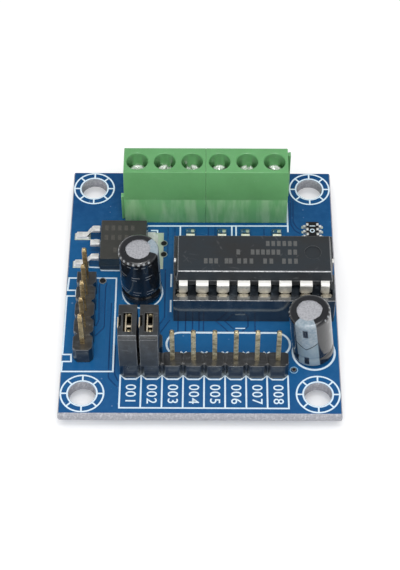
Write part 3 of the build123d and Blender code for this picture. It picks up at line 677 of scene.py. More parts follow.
class Finish(Enum):
    """Every finish on the module."""

    BOARD = LacqueredBoard()
    GAP = MouldedPlastic("lacquer_over_gaps", srgb(14, 58, 104), srgb(16, 66, 116), roughness=0.24, gloss=0.3,
                         scuffs=0.0, wear=0.0)
    COPPER = MouldedPlastic("lacquer_over_copper", srgb(30, 96, 150), srgb(24, 86, 138), roughness=0.22, gloss=0.3,
                            scuffs=0.0, wear=0.0)
    PRINT = Ink("white_print", srgb(222, 238, 248), srgb(196, 222, 240))
    VIA_PRINT = Ink("thin_print", srgb(150, 192, 218), srgb(104, 156, 192))
    CHIP_MARK = Ink("burnt_mark", srgb(96, 97, 96), srgb(72, 74, 76), roughness=0.7)
    FAINT_MARK = Ink("faint_mark", srgb(82, 80, 76), srgb(64, 63, 60), roughness=0.75)
    SHADOW = Ink("dark_recess", srgb(24, 25, 28), srgb(18, 19, 22), roughness=0.8)
    TIN = PlatedMetal("bright_tin", srgb(226, 223, 214), srgb(168, 162, 148), roughness=0.36, patches=0.45)
    # LEAD: above 7.3 mm the leads are painted near white as a highlight on their shoulders
    LEAD = PlatedMetal("plated_leads", srgb(232, 231, 224), srgb(192, 188, 176), roughness=0.36, patches=0.45, metal=0.7,
                       painted_highlight_above=7.3)
    WIPER = PlatedMetal("contact_wipers", srgb(158, 152, 138), srgb(116, 108, 92), roughness=0.4, patches=0.4,
                        metal=0.6)
    DULL_TIN = PlatedMetal("dull_tin", srgb(232, 233, 232), srgb(176, 174, 170), roughness=0.5, patches=0.8,
                           tarnish_share=0.6, grain_depth=0.006, metal=0.5)
    SOLDER = PlatedMetal("solder", srgb(206, 207, 204), srgb(152, 154, 150), roughness=0.38, grain=0.2,
                         grain_depth=0.012)
    PAD = PlatedMetal("tinned_pad", srgb(196, 206, 190), srgb(150, 160, 142), roughness=0.42, patches=1.2, metal=0.5,
                      streaks=(1.0, 0.4, 1.0), grain=0.25, grain_depth=0.012)
    SHADED_TIN = PlatedMetal("shaded_tin", srgb(112, 134, 150), srgb(80, 104, 124), roughness=0.4, patches=0.4)
    # BRASS: below 9.55 mm and left of -4.6 mm the pins are painted dark brown as the shade inside the jumper caps
    BRASS = PlatedMetal("pale_brass", srgb(208, 194, 158), srgb(92, 84, 62), roughness=0.34, patches=0.6,
                        tarnish_share=0.85, streaks=(0.5, 0.5, 1.0), metal=0.8, painted_shade_below=9.55, painted_shade_left_of=-4.6)
    BRONZE_PIN = PlatedMetal("bronze_pin", srgb(204, 180, 134), srgb(96, 78, 50), roughness=0.32, patches=0.9,
                             tarnish_share=0.85, streaks=(0.5, 0.5, 0.7), metal=0.85)
    # BRONZE: below 9.66 mm the spring strip is painted dark brown as the shade inside its cap
    BRONZE = PlatedMetal("spring_bronze", srgb(222, 212, 190), srgb(176, 150, 110), roughness=0.36, patches=0.4, metal=0.6,
                         painted_shade_below=9.66)
    STEEL = PlatedMetal("screw_steel", srgb(250, 250, 248), srgb(214, 214, 214), roughness=0.26, patches=0.5,
                        ring_pitch=0.12)
    CLAMP = PlatedMetal("nickel_clamp", srgb(206, 202, 190), srgb(160, 150, 124), roughness=0.35)
    CAN = PlatedMetal("drawn_can", srgb(214, 215, 220), srgb(150, 152, 160), roughness=0.5, spread=0.08, patches=0.22,
                      grain=0.12, grain_depth=0.014)
    NYLON = MouldedPlastic("header_nylon", srgb(26, 28, 31), srgb(18, 20, 23), roughness=0.32, spread=0.06, gloss=0.9,
                           coat=0.35, edge=srgb(120, 126, 132), scuffs=0.6, streaks=0.14, dust=0.25)
    # CAP: the smears paint bluish-grey reflections on the caps
    CAP = MouldedPlastic("cap_plastic", srgb(24, 27, 30), srgb(16, 18, 21), roughness=0.44, gloss=0.8,
                         edge=srgb(150, 156, 162), wear=0.6, scuffs=0.3, painted_reflections=0.2, dust=0.15)
    # GREEN: below 6.2 mm the lower colour is painted lighter as light on the blocks' lower facets, and its pale streaks
    # are painted reflections
    GREEN = MouldedPlastic("green_moulding", srgb(108, 170, 112), srgb(100, 160, 103), roughness=0.36, spread=0.06,
                           gloss=0.4, edge=srgb(180, 226, 176), wear=0.8, patches=4.0, scuffs=0.1, dust=0.15,
                           glow=0.2, polish_below=6.2, hole_gloss=0.6, lower=srgb(118, 184, 124), painted_reflection_streaks=0.5)
    # SOCKET: the smears paint bluish-grey reflections on its glossy front
    SOCKET = MouldedPlastic("socket_plastic", srgb(24, 30, 36), srgb(14, 19, 24), roughness=0.1, spread=0.04, gloss=1.0,
                            coat=0.7, edge=srgb(170, 172, 176), wear=0.8, scuffs=0.2, dust=0.1, painted_reflections=0.3)
    # EPOXY: the near-white edge colour paints highlights along the chip's rounded edges, and the bluish patches paint a
    # cloudy reflection on its top
    EPOXY = MouldedPlastic("chip_epoxy", srgb(42, 49, 55), srgb(42, 42, 42), roughness=0.5, gloss=0.3, patches=7.0,
                           edge=srgb(226, 228, 230), wear=1.0, grain=0.06, grain_depth=0.006, scuffs=0.12)
    RUBBER = MouldedPlastic("bung_rubber", srgb(30, 30, 30), srgb(22, 22, 22), roughness=0.8, gloss=0.3)
    # REGULATOR: below 3.85 mm the lower colour is painted bluish, as a reflection of the blue board
    REGULATOR = MouldedPlastic("regulator_epoxy", srgb(54, 54, 51), srgb(44, 44, 42), roughness=0.55, gloss=0.45,
                               wear=0.3, grain=0.06, grain_depth=0.004, scuffs=0.1, dust=0.1, polish_below=3.85,
                               lower=srgb(44, 58, 68))
    CERAMIC = MouldedPlastic("ceramic_body", srgb(22, 23, 27), srgb(16, 17, 20), roughness=0.34, gloss=0.35)
    CARRIER = MouldedPlastic("lamp_carrier", srgb(60, 104, 140), srgb(40, 84, 122), roughness=0.4)
    LAMP_WHITE = MouldedPlastic("lamp_reflector", srgb(244, 244, 230), srgb(226, 228, 206), roughness=0.3, patches=0.5)
    LAMP_GREEN = MouldedPlastic("lamp_mark", srgb(40, 62, 44), srgb(28, 46, 34), roughness=0.4)
    LENS = LampResin()
    SLEEVE_LEFT = SleeveFilm("left_sleeve_film", stripe=0.035)
    SLEEVE_RIGHT = SleeveFilm("right_sleeve_film", stripe=0.71)


@lru_cache(maxsize=None)
def dressed(finish: Finish) -> bpy.types.Material:
    """The material of a finish, built once."""
    return finish.value.material()


# Shapes

def merged_copy(node: str) -> Shape:
    """A copy of a CAD node with its loose triangles merged to whole faces.

    Args:
        node: The node's name.

    Returns:
        The copy, in metres.
    """
    shape = bmesh.new()
    shape.from_mesh(frame["nodes"][node].data)
    bmesh.ops.remove_doubles(shape, verts=shape.verts[:], dist=0.0008 * MM)
    bmesh.ops.dissolve_limit(shape, angle_limit=math.radians(0.4), verts=shape.verts[:], edges=shape.edges[:])
    return shape


def middle(edge: bmesh.types.BMEdge) -> Vector:
    """The middle of an edge, in mm."""
    return (edge.verts[0].co + edge.verts[1].co) / 2 / MM


def round_edges(shape: Shape, width: float, segments: int = 2, least: float = 13.0, wear: Union[float, WearAndHighlight] = 1.0,
                chosen: Callable[[bmesh.types.BMEdge], bool] = lambda edge: True) -> None:
    """Rounds a shape's outward edges and marks the roundings for paler edges, which stand for rubbing and, where a
    piece's rule says so, for a painted highlight.

    Args:
        shape: The mesh.
        width: How far back each edge is taken, in mm.
        segments: How many steps the rounding has.
        least: The angle in degrees from which an edge counts.
        wear: How pale the rounding is made, for rubbing and for painted highlights, 0 to 1, or a rule that tells it
            from a place in mm.
        chosen: A test that an edge must also pass.
    """
    layer = shape.loops.layers.float.get(WEAR_AND_HIGHLIGHT_EDGE) or shape.loops.layers.float.new(WEAR_AND_HIGHLIGHT_EDGE)
    shape.normal_update()
    sharp = [edge for edge in shape.edges if len(edge.link_faces) == 2 and edge.is_convex
             and edge.calc_face_angle(0.0) > math.radians(least) and chosen(edge)]
    made = bmesh.ops.bevel(shape, geom=sharp, offset=width * MM, offset_type="OFFSET", segments=segments,
                           profile=0.5, affect="EDGES", material=-1, clamp_overlap=False)
    for face in made["faces"]:
        share = wear(face.calc_center_median() / MM) if callable(wear) else wear
        for loop in face.loops:
            loop[layer] = share


def slab(shape: Shape, low: Sequence[float], high: Sequence[float]) -> list[bmesh.types.BMVert]:
    """Adds a box between two corners.

    Args:
        shape: The mesh that it is added to.
        low: Its lowest corner in mm.
        high: Its highest corner in mm.

    Returns:
        Its corners.
    """
    size = [(b - a) * MM for a, b in zip(low, high)]
    centre = [(a + b) / 2 * MM for a, b in zip(low, high)]
    matrix = Matrix.Translation(centre) @ Matrix.Diagonal((*size, 1.0))
    return bmesh.ops.create_cube(shape, size=1.0, matrix=matrix)["verts"]


def mound(shape: Shape, low: Sequence[float], high: Sequence[float], top: float = 0.6) -> None:
    """Adds a low mound of solder: a box whose top is drawn in.

    Args:
        shape: The mesh that it is added to.
        low: Its lowest corner in mm.
        high: Its highest corner in mm.
        top: How much of its length and width the top keeps.
    """
    corners = slab(shape, low, high)
    raised = [vert for vert in corners if vert.co.z > (low[2] + high[2]) / 2 * MM]
    centre = Vector([(a + b) / 2 * MM for a, b in zip(low, high)])
    bmesh.ops.scale(shape, verts=raised, vec=(top, top, 1.0), space=Matrix.Translation(-centre))


def score(shape: Shape, x: float, half_width: float, depth: float, above: float) -> None:
    """Presses a narrow groove across the top of a moulding, along Y.

    Args:
        shape: The mesh.
        x: The groove's middle in mm.
        half_width: Half its width in mm.
        depth: Its depth in mm.
        above: The height over which the top's corners are pressed, in mm.
    """
    for place in (x - half_width, x, x + half_width):
        bmesh.ops.bisect_plane(shape, geom=shape.verts[:] + shape.edges[:] + shape.faces[:], dist=1e-7,
                               plane_co=(place * MM, 0, 0), plane_no=(1, 0, 0))
    pressed = [vert for vert in shape.verts if abs(vert.co.x - x * MM) < 1e-7 and vert.co.z > above * MM]
    bmesh.ops.translate(shape, verts=pressed, vec=(0, 0, -depth * MM))


def blocks(lines: "FlatLines", y: float, start: float, end: float, pitch: float, height: float) -> None:
    """Draws a row of plain upright blocks.

    Args:
        lines: The lines that they are added to, as wide as a block.
        y: The row's middle in mm.
        start: Its left end.
        end: Its right end.
        pitch: The blocks' wished pitch.
        height: The height of a block.
    """
    count = max(1, round((end - start) / pitch))
    for index in range(count):
        x = start + (index + 0.5) * (end - start) / count
        lines.path([(x, y - height / 2), (x, y + height / 2)])


@dataclass
class FlatLines:
    """Flat lines of one width that lie on a face of the board. Sizes are in mm.

    Each line is a low upright wall along its middle, which the Solidify modifier makes as thick as the line is wide.
    """

    width: float
    rise: float
    level: float = DECK
    shape: Shape = field(default_factory=bmesh.new)
    count: int = 0

    def lift(self) -> None:
        """Draws the newest line up to a wall, a hair higher or lower than its neighbours where they cross."""
        fresh = [edge for edge in self.shape.edges if edge.is_wire]
        made = bmesh.ops.extrude_edge_only(self.shape, edges=fresh)["geom"]
        tops = [item for item in made if isinstance(item, bmesh.types.BMVert)]
        rise = self.rise * (1 + 0.02 * (self.count % 23))
        bmesh.ops.translate(self.shape, verts=tops, vec=(0, 0, rise * MM))
        bmesh.ops.recalc_face_normals(self.shape, faces=[item for item in made if isinstance(item, bmesh.types.BMFace)])
        self.count += 1

    def path(self, points: Sequence[Point], closed: bool = False, corner: float = 0.0) -> None:
        """Adds a line along a path.

        Args:
            points: The path's corners.
            closed: Whether it joins its start.
            corner: The radius that its corners are rounded to.
        """
        corners = [self.shape.verts.new((x * MM, y * MM, self.level * MM)) for x, y in points]
        follow = corners[1:] + corners[:1] if closed else corners[1:]
        for pair in zip(corners, follow):
            self.shape.edges.new(pair)
        if corner:
            turned = [vert for vert in corners if len(vert.link_edges) == 2 and abs(vert.calc_edge_angle(0.0)) > 0.2]
            bmesh.ops.bevel(self.shape, geom=turned, offset=corner * MM, offset_type="OFFSET", segments=10, profile=0.5,
                            affect="VERTICES", material=-1)
        self.lift()

    def ring(self, centre: Point, radius: float, segments: int = 48) -> None:
        """Adds a ring."""
        bmesh.ops.create_circle(self.shape, segments=segments, radius=radius * MM,
                                matrix=Matrix.Translation((centre[0] * MM, centre[1] * MM, self.level * MM)))
        self.lift()


# Assemblies

@dataclass
class Assembly:
    """A sub-assembly, with the pieces that it has made."""

    made: list[bpy.types.Object] = field(default_factory=list, init=False)

    def add(self, name: str, shape: Shape, finish: Finish, slot: Slot, body: str = "board",
            instead_of: Sequence[str] = (), crease: Optional[float] = 50.0) -> bpy.types.Object:
        """Makes a piece of a finished shape and puts it on its body.

        Args:
            name: The piece's name.
            shape: Its mesh, in metres; it is used up.
            finish: Its finish.
            slot: The record's slot that it stands for; not used.
            body: The body that it rides on.
            instead_of: The CAD nodes that it replaces.
            crease: The angle in degrees past which an edge stays sharp, or None for flat faces.

        Returns:
            The piece.
        """
        mesh = bpy.data.meshes.new(name)
        shape.to_mesh(mesh)
        shape.free()
        piece = bpy.data.objects.new(name, mesh)
        bpy.context.scene.collection.objects.link(piece)
        if crease is None:
            mesh.shade_flat()
        else:
            mesh.shade_smooth()
            mesh.set_sharp_from_angle(angle=math.radians(crease))
            flatten = piece.modifiers.new("even_faces", "WEIGHTED_NORMAL")
            flatten.keep_sharp = True
        mesh.materials.append(dressed(finish))
        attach(piece, body)
        if instead_of:
            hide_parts(*instead_of)
        self.made.append(piece)
        return piece

    def soften(self, node: str, name: str, finish: Finish, slot: Slot, width: float, body: str = "board",
               **rounding: object) -> bpy.types.Object:
        """Replaces a CAD node by a copy with rounded edges.

        Args:
            node: The node.
            name: The new piece's name.
            finish: Its finish.
            slot: The record's slot.
            width: The rounding's width in mm.
            body: The body that it rides on.
            **rounding: More settings for round_edges.

        Returns:
            The piece.
        """
        shape = merged_copy(node)
        round_edges(shape, width, **rounding)
        return self.add(name, shape, finish, slot, body=body, instead_of=[node])

    def lines(self, name: str, lines: FlatLines, finish: Finish, slot: Slot) -> None:
        """Makes a piece of a set of flat lines.

        Args:
            name: The piece's name.
            lines: The lines.
            finish: Their finish.
            slot: The record's slot.
        """
        piece = self.add(name, lines.shape, finish, slot, crease=None)
        thick = piece.modifiers.new("line_width", "SOLIDIFY")
        thick.thickness = lines.width * MM
        thick.offset = 0.0
        thick.use_even_offset = True

    def make(self) -> None:
        """Makes the pieces."""
        raise NotImplementedError

    def build(self) -> list[bpy.types.Object]:
        """Makes the pieces and returns them."""
        self.make()
        return self.made


@dataclass
class Board(Assembly):
    """The circuit board with its print, its copper under the lacquer and its vias. Sizes are in mm."""

    half_width: float = 17.05
    half_depth: float = 19.1
    edge: float = 0.06
    hole_x: float = 14.2
    hole_y: float = 16.2
    hole_radius: float = 1.65
    stroke: float = 0.2
    inner_ring: float = 1.8
    outer_ring: float = 2.6
    spokes: int = 8
    cell_first: float = -9.68
    cell_pitch: float = 2.54
    cells: int = 8
    cell_front: float = -18.23
    cell_peak: float = -13.45
    cell_flat: float = -14.1
    flat_length: float = 1.27
    digit_size: float = 1.75
    digit_y: float = -16.25
    wide_vias: tuple[Point, ...] = ((-4.82, 6.88), (-4.82, 5.08), (-12.43, 0.77))
    narrow_vias: tuple[Point, ...] = ((11.38, -12.68),)
    via_rim: float = 0.08

    def hole_places(self) -> list[Point]:
        """The middles of the four mounting holes."""
        return [(x * self.hole_x, y * self.hole_y) for x in (-1, 1) for y in (-1, 1)]

    def slab(self) -> None:
        """The board itself, with its outline and its mounting holes eased."""
        def eased(edge: bmesh.types.BMEdge) -> bool:
            """Whether an edge is on the outline or round a mounting hole."""
            at = middle(edge)
            outline = abs(at.x) > self.half_width - 0.2 or abs(at.y) > self.half_depth - 0.2
            return outline or any(math.hypot(at.x - x, at.y - y) < self.hole_radius + 0.1 for x, y in self.hole_places())
        self.soften("circuit_board", "lacquered_board", Finish.BOARD, Slot.MASK, self.edge, chosen=eased)

    def hole_rings(self, lines: FlatLines) -> None:
        """Two rings and the spokes between them round each mounting hole."""
        for x, y in self.hole_places():
            lines.ring((x, y), self.inner_ring)
            lines.ring((x, y), self.outer_ring)
            for index in range(self.spokes):
                angle = 2 * math.pi * index / self.spokes
                lines.path([(x + r * math.cos(angle), y + r * math.sin(angle)) for r in (self.inner_ring, self.outer_ring)])

    def header_cells(self, lines: FlatLines) -> None:
        """The number cells in front of the input header, and the printed points behind its notches."""
        right = self.cell_first + self.cells * self.cell_pitch
        side = (self.cell_pitch - self.flat_length) / 2
        for index in range(self.cells + 1):
            x = self.cell_first + index * self.cell_pitch
            lines.path([(x, self.cell_front), (x, self.cell_peak)])
            if index < self.cells:
                lines.path([(x, self.cell_peak), (x + side, self.cell_flat), (x + side + self.flat_length, self.cell_flat),
                            (x + self.cell_pitch, self.cell_peak)])
            if 2 < index < self.cells:
                lines.path([(x - 0.38, -10.02), (x, -10.36), (x + 0.38, -10.02)])
        lines.path([(self.cell_first - self.stroke / 2, self.cell_front), (right + self.stroke / 2, self.cell_front)])

    def part_outlines(self, lines: FlatLines) -> None:
        """The outlines round the parts."""
        lines.path([(-7.2, 9.84), (11.27, 9.92)])
        lines.path([(11.2, 8.9), (11.2, 14.0)])
        for x in (-2.74, 3.94, 4.49):
            lines.path([(x, 5.2), (x, 9.9)])
        lines.path([(-16.71, 1.27), (-10.71, 1.27), (-10.61, -13.01), (-16.88, -13.04), (-16.87, -11.57), (-15.77, -11.56),
                    (-15.83, -10.52), (-16.88, -10.53), (-16.85, -1.58), (-15.70, -1.57), (-15.74, -0.67), (-16.80, -0.68)],
                   closed=True)
        lines.path([(-14.67, 3.05), (-12.82, 2.97), (-12.67, 2.51), (-10.31, 2.49)])
        lines.path([(-6.54, 9.09), (-5.69, 9.09), (-5.68, 8.34)])
        lines.ring((-13.63, 7.01), 0.52, 24)
        lines.path([(-3.77, 1.98), (-3.77, -0.09)])
        lines.path([(-3.77, -2.14), (-3.77, -4.0)])
        lines.ring((-7.335, -0.93), 2.5)

    def digits(self) -> None:
        """Plain numbers in the cells, read from the right-hand side."""
        shape = bmesh.new()
        for index in range(self.cells):
            curve = bpy.data.curves.new("cell_number", "FONT")
            curve.body = f"{index + 1:03d}"
            curve.size, curve.space_character, curve.offset = self.digit_size * MM, 1.12, 0.01 * MM
            curve.align_x, curve.align_y = "CENTER", "CENTER"
            curve.extrude = 0.005 * MM
            holder = bpy.data.objects.new("cell_number", curve)
            flat = bpy.data.meshes.new_from_object(holder)
            middle_x = self.cell_first + (index + 0.5) * self.cell_pitch
            flat.transform(Matrix.Translation((middle_x * MM, self.digit_y * MM, (DECK + 0.006) * MM))
                           @ Matrix.Rotation(-math.pi / 2, 4, "Z"))
            shape.from_mesh(flat)
            bpy.data.objects.remove(holder)
            bpy.data.curves.remove(curve)
            bpy.data.meshes.remove(flat)
        self.add("cell_numbers", shape, Finish.PRINT, Slot.MASK, crease=None)

    def print_lines(self) -> None:
        """All the white print."""
        lines = FlatLines(self.stroke, 0.008)
        self.hole_rings(lines)
        self.header_cells(lines)
        self.part_outlines(lines)
        self.lines("board_print", lines, Finish.PRINT, Slot.MASK)
        frame_line = FlatLines(0.26, 0.008)
        frame_line.path([(-4.17, -10.65), (11.0, -10.65), (11.0, -7.15), (-4.17, -7.15)], closed=True, corner=1.745)
        frame_line.ring((13.88, -10.07), 2.57)
        self.lines("board_print_frame", frame_line, Finish.PRINT, Slot.MASK)
        fine = FlatLines(0.15, 0.008)
        fine.path([(4.3, -6.48), (5.52, -6.48)])
        self.lines("board_print_fine", fine, Finish.PRINT, Slot.MASK)
        self.digits()

    def gaps(self) -> None:
        """The narrow gaps between the copper areas, which show dark through the lacquer."""
        gaps = FlatLines(0.17, 0.003)
        for points in (
                [(-12.83, 0.34), (-12.64, -5.44), (-13.03, -6.21)],
                [(-11.88, 0.5), (-12.03, -0.29), (-11.94, -6.43), (-13.02, -7.73)],
                [(-11.19, -2.64), (-11.18, -9.08), (-11.12, -13.96), (-10.02, -15.26)],
                [(-10.44, -9.07), (-10.40, -13.37), (-9.93, -14.39)],
                [(-4.54, 2.78), (-4.49, -4.93), (-5.22, -6.09)],
                [(-3.8, -5.2), (-5.07, -7.31)]):
            gaps.path(points, corner=0.3)
        for x in (-2.8, -1.87, -1.0, -0.2, 0.36):
            gaps.path([(x, -5.2), (x, -7.1)])
        for points in ([(1.7, -5.2), (2.65, -6.12), (3.5, -7.1)], [(2.85, -5.2), (4.1, -6.6)],
                       [(5.88, -5.2), (5.88, -6.18), (5.2, -6.9)], [(6.75, -5.2), (6.74, -7.1)]):
            gaps.path(points)
        for points in ([(11.66, 15.0), (11.57, 10.27), (12.13, 9.1), (12.76, 8.69)],
                       [(12.02, 15.0), (11.91, 10.61), (12.4, 9.6), (12.91, 9.27)]):
            gaps.path(points, corner=0.3)
        for x in (-4.3, -3.43, 0.91, 1.76, 8.1):
            gaps.path([(x, 9.7), (x, 5.3)])
        self.lines("copper_gaps", gaps, Finish.GAP, Slot.MASK)
        copper = FlatLines(0.42, 0.002)
        for points in ([(-4.0, 9.6), (-4.0, -5.0), (-5.6, -7.4)], [(-12.4, 0.2), (-12.3, -6.0), (-13.6, -7.6)],
                       [(-11.55, 0.2), (-11.5, -14.0), (-10.4, -15.6)]):
            copper.path(points, corner=0.4)
        self.lines("copper_tracks", copper, Finish.COPPER, Slot.MASK)

    def vias(self) -> None:
        """The tinned rims of the vias, above and below, dark discs in them that paint the shade of the holes, and a
        dark halo and a printed ring round one.
        """
        for name, level, rise in (("via_rims_top", DECK, 0.14), ("via_rims_low", 0.0, -0.05)):
            rims = FlatLines(self.via_rim, rise, level)
            for place in self.wide_vias:
                rims.ring(place, 0.43, 32)
            for place in self.narrow_vias:
                rims.ring(place, 0.25, 24)
            self.lines(name, rims, Finish.SOLDER, Slot.MASK)
        halo = FlatLines(0.16, 0.006)
        pale = FlatLines(0.11, 0.01)
        for place in self.narrow_vias:
            halo.ring(place, 0.35, 32)
            pale.ring(place, 0.45, 32)
        self.lines("via_halos", halo, Finish.GAP, Slot.MASK)
        self.lines("via_outlines", pale, Finish.VIA_PRINT, Slot.MASK)
        wells = bmesh.new()
        for places, radius in ((self.wide_vias, 0.42), (self.narrow_vias, 0.23)):
            for x, y in places:
                bmesh.ops.create_cone(wells, cap_ends=True, segments=32, radius1=radius * MM, radius2=radius * 0.85 * MM,
                                      depth=0.11 * MM, matrix=Matrix.Translation((x * MM, y * MM, (DECK + 0.056) * MM)))
        self.add("via_wells", wells, Finish.SHADOW, Slot.MASK)

    def underside(self) -> None:
        """Copper runs and gaps under the lacquer of the underside."""
        gaps = FlatLines(0.2, -0.003, 0.0)
        for index in range(8):
            x = -8.41 + 2.54 * index
            end = (-2.34 + 2.54 * index, -4.15)
            gaps.path([(x + 0.5, -11.6), (x + 0.5, -9.4 + 0.3 * index), (end[0] - 0.6, -6.6 + 0.2 * index), (end[0] - 0.6, -5.2)],
                      corner=0.4)
        for x in (-8.19, -4.69, -1.19, 2.31, 5.81, 9.31):
            gaps.path([(x - 1.3, 10.2), (x - 1.3, 6.4), (x - 0.4, 5.2)], corner=0.5)
            gaps.path([(x + 1.3, 10.2), (x + 1.3, 7.4), (x + 0.6, 6.2)], corner=0.5)
        gaps.path([(-15.6, -14.0), (-15.6, 13.4), (-14.2, 14.0), (-11.0, 14.0)], corner=0.6)
        gaps.path([(15.6, -13.4), (15.6, 13.0), (12.6, 14.0)], corner=0.6)
        self.lines("underside_gaps", gaps, Finish.GAP, Slot.MASK)

    def make(self) -> None:
        """Makes the board."""
        self.slab()
        self.print_lines()
        self.gaps()
        self.vias()
        self.underside()


@dataclass
class PinStrip(Assembly):
    """A pin header: its notched strip and its pins. Sizes are in mm."""

    name: str
    pin_finish: Finish = Finish.BRASS
    first_groove: Optional[float] = None
    grooves: int = 0
    pitch: float = 2.54
    edge: float = 0.05
    pin_edge: float = 0.03
    rear: Optional[float] = None
    rear_shift: float = 0.15
    notch: float = 0.45
    notch_shift: float = 0.3

    def make(self) -> None:
        """Makes the strip and the pins."""
        shape = merged_copy(f"{self.name}_strip")
        if self.rear is not None:
            for vert in shape.verts:
                if vert.co.y > (self.rear - 0.02) * MM:
                    vert.co.y -= self.rear_shift * MM
                elif vert.co.y > (self.rear - self.notch - 0.05) * MM:
                    vert.co.y -= self.notch_shift * MM
        layer = shape.loops.layers.float.new(IN_SHADE)
        shape.normal_update()
        for face in shape.faces:
            if min(abs(face.normal.x), abs(face.normal.y)) > 0.3:
                for loop in face.loops:
                    loop[layer] = 1.0
        round_edges(shape, self.edge, wear=lambda at: 0.6 if at.z > STRIP_TOP - self.edge else 0.1)
        if self.first_groove is not None:
            for index in range(self.grooves):
                for side in (-1, 1):
                    score(shape, self.first_groove + index * self.pitch + side * 0.23, 0.12, 0.2, STRIP_TOP - 0.02)
        self.add(f"{self.name}_moulding", shape, Finish.NYLON, Slot.NYLON, instead_of=[f"{self.name}_strip"])
        self.soften(f"{self.name}_pins", f"{self.name}_pin_set", self.pin_finish, Slot.BRASS, self.pin_edge)


@dataclass
class JumperCap(Assembly):
    """A jumper cap and the spring strip inside it. Sizes are in mm."""

    side: str
    pin_x: float
    edge: float = 0.06
    centre_y: float = -11.45
    grip: float = 0.28
    leaf: float = 0.17
    front_half: float = 2.525
    leaf_half: float = 1.85
    leaf_bottom: float = 4.74
    top: float = 9.74
    flap_x: float = -1.39
    flap_half: float = 0.72
    flap_bottom: float = 8.37

    def contact(self) -> None:
        """The spring strip: two leaves, the rungs between them and a flap out through the side."""
        x, y = self.pin_x, self.centre_y
        outer = self.grip + self.leaf
        shape = bmesh.new()
        for low, high in (
                ((-outer, -self.leaf_half, self.leaf_bottom), (-self.grip, self.leaf_half, self.top)),
                ((self.grip, -self.leaf_half, self.leaf_bottom), (outer, self.leaf_half, self.top)),
                ((-self.grip, -0.67, self.top - 0.3), (self.grip, -0.37, self.top - 0.1)),
                ((-self.grip, 0.04, self.top - 0.8), (self.grip, 0.28, self.top - 0.6)),
                ((self.flap_x, -self.flap_half, self.flap_bottom), (-outer, self.flap_half, self.flap_bottom + self.leaf)),
                ((self.flap_x, -self.flap_half, self.flap_bottom), (self.flap_x + self.leaf, self.flap_half, self.top))):
            slab(shape, (x + low[0], y + low[1], low[2]), (x + high[0], y + high[1], high[2]))
        round_edges(shape, 0.04)
        self.add(f"jumper_contact_{self.side}_strip", shape, Finish.BRONZE, Slot.BRONZE,
                 instead_of=[f"jumper_contact_{self.side}"])

    def make(self) -> None:
        """Makes the cap and its contact."""
        cap = f"jumper_cap_{self.side}"
        front = self.centre_y - self.front_half + 1.0
        self.soften(cap, f"{cap}_moulding", Finish.CAP, Slot.CAP, self.edge, wear=lambda at: 1.0 if at.y < front else 0.12)
        self.contact()


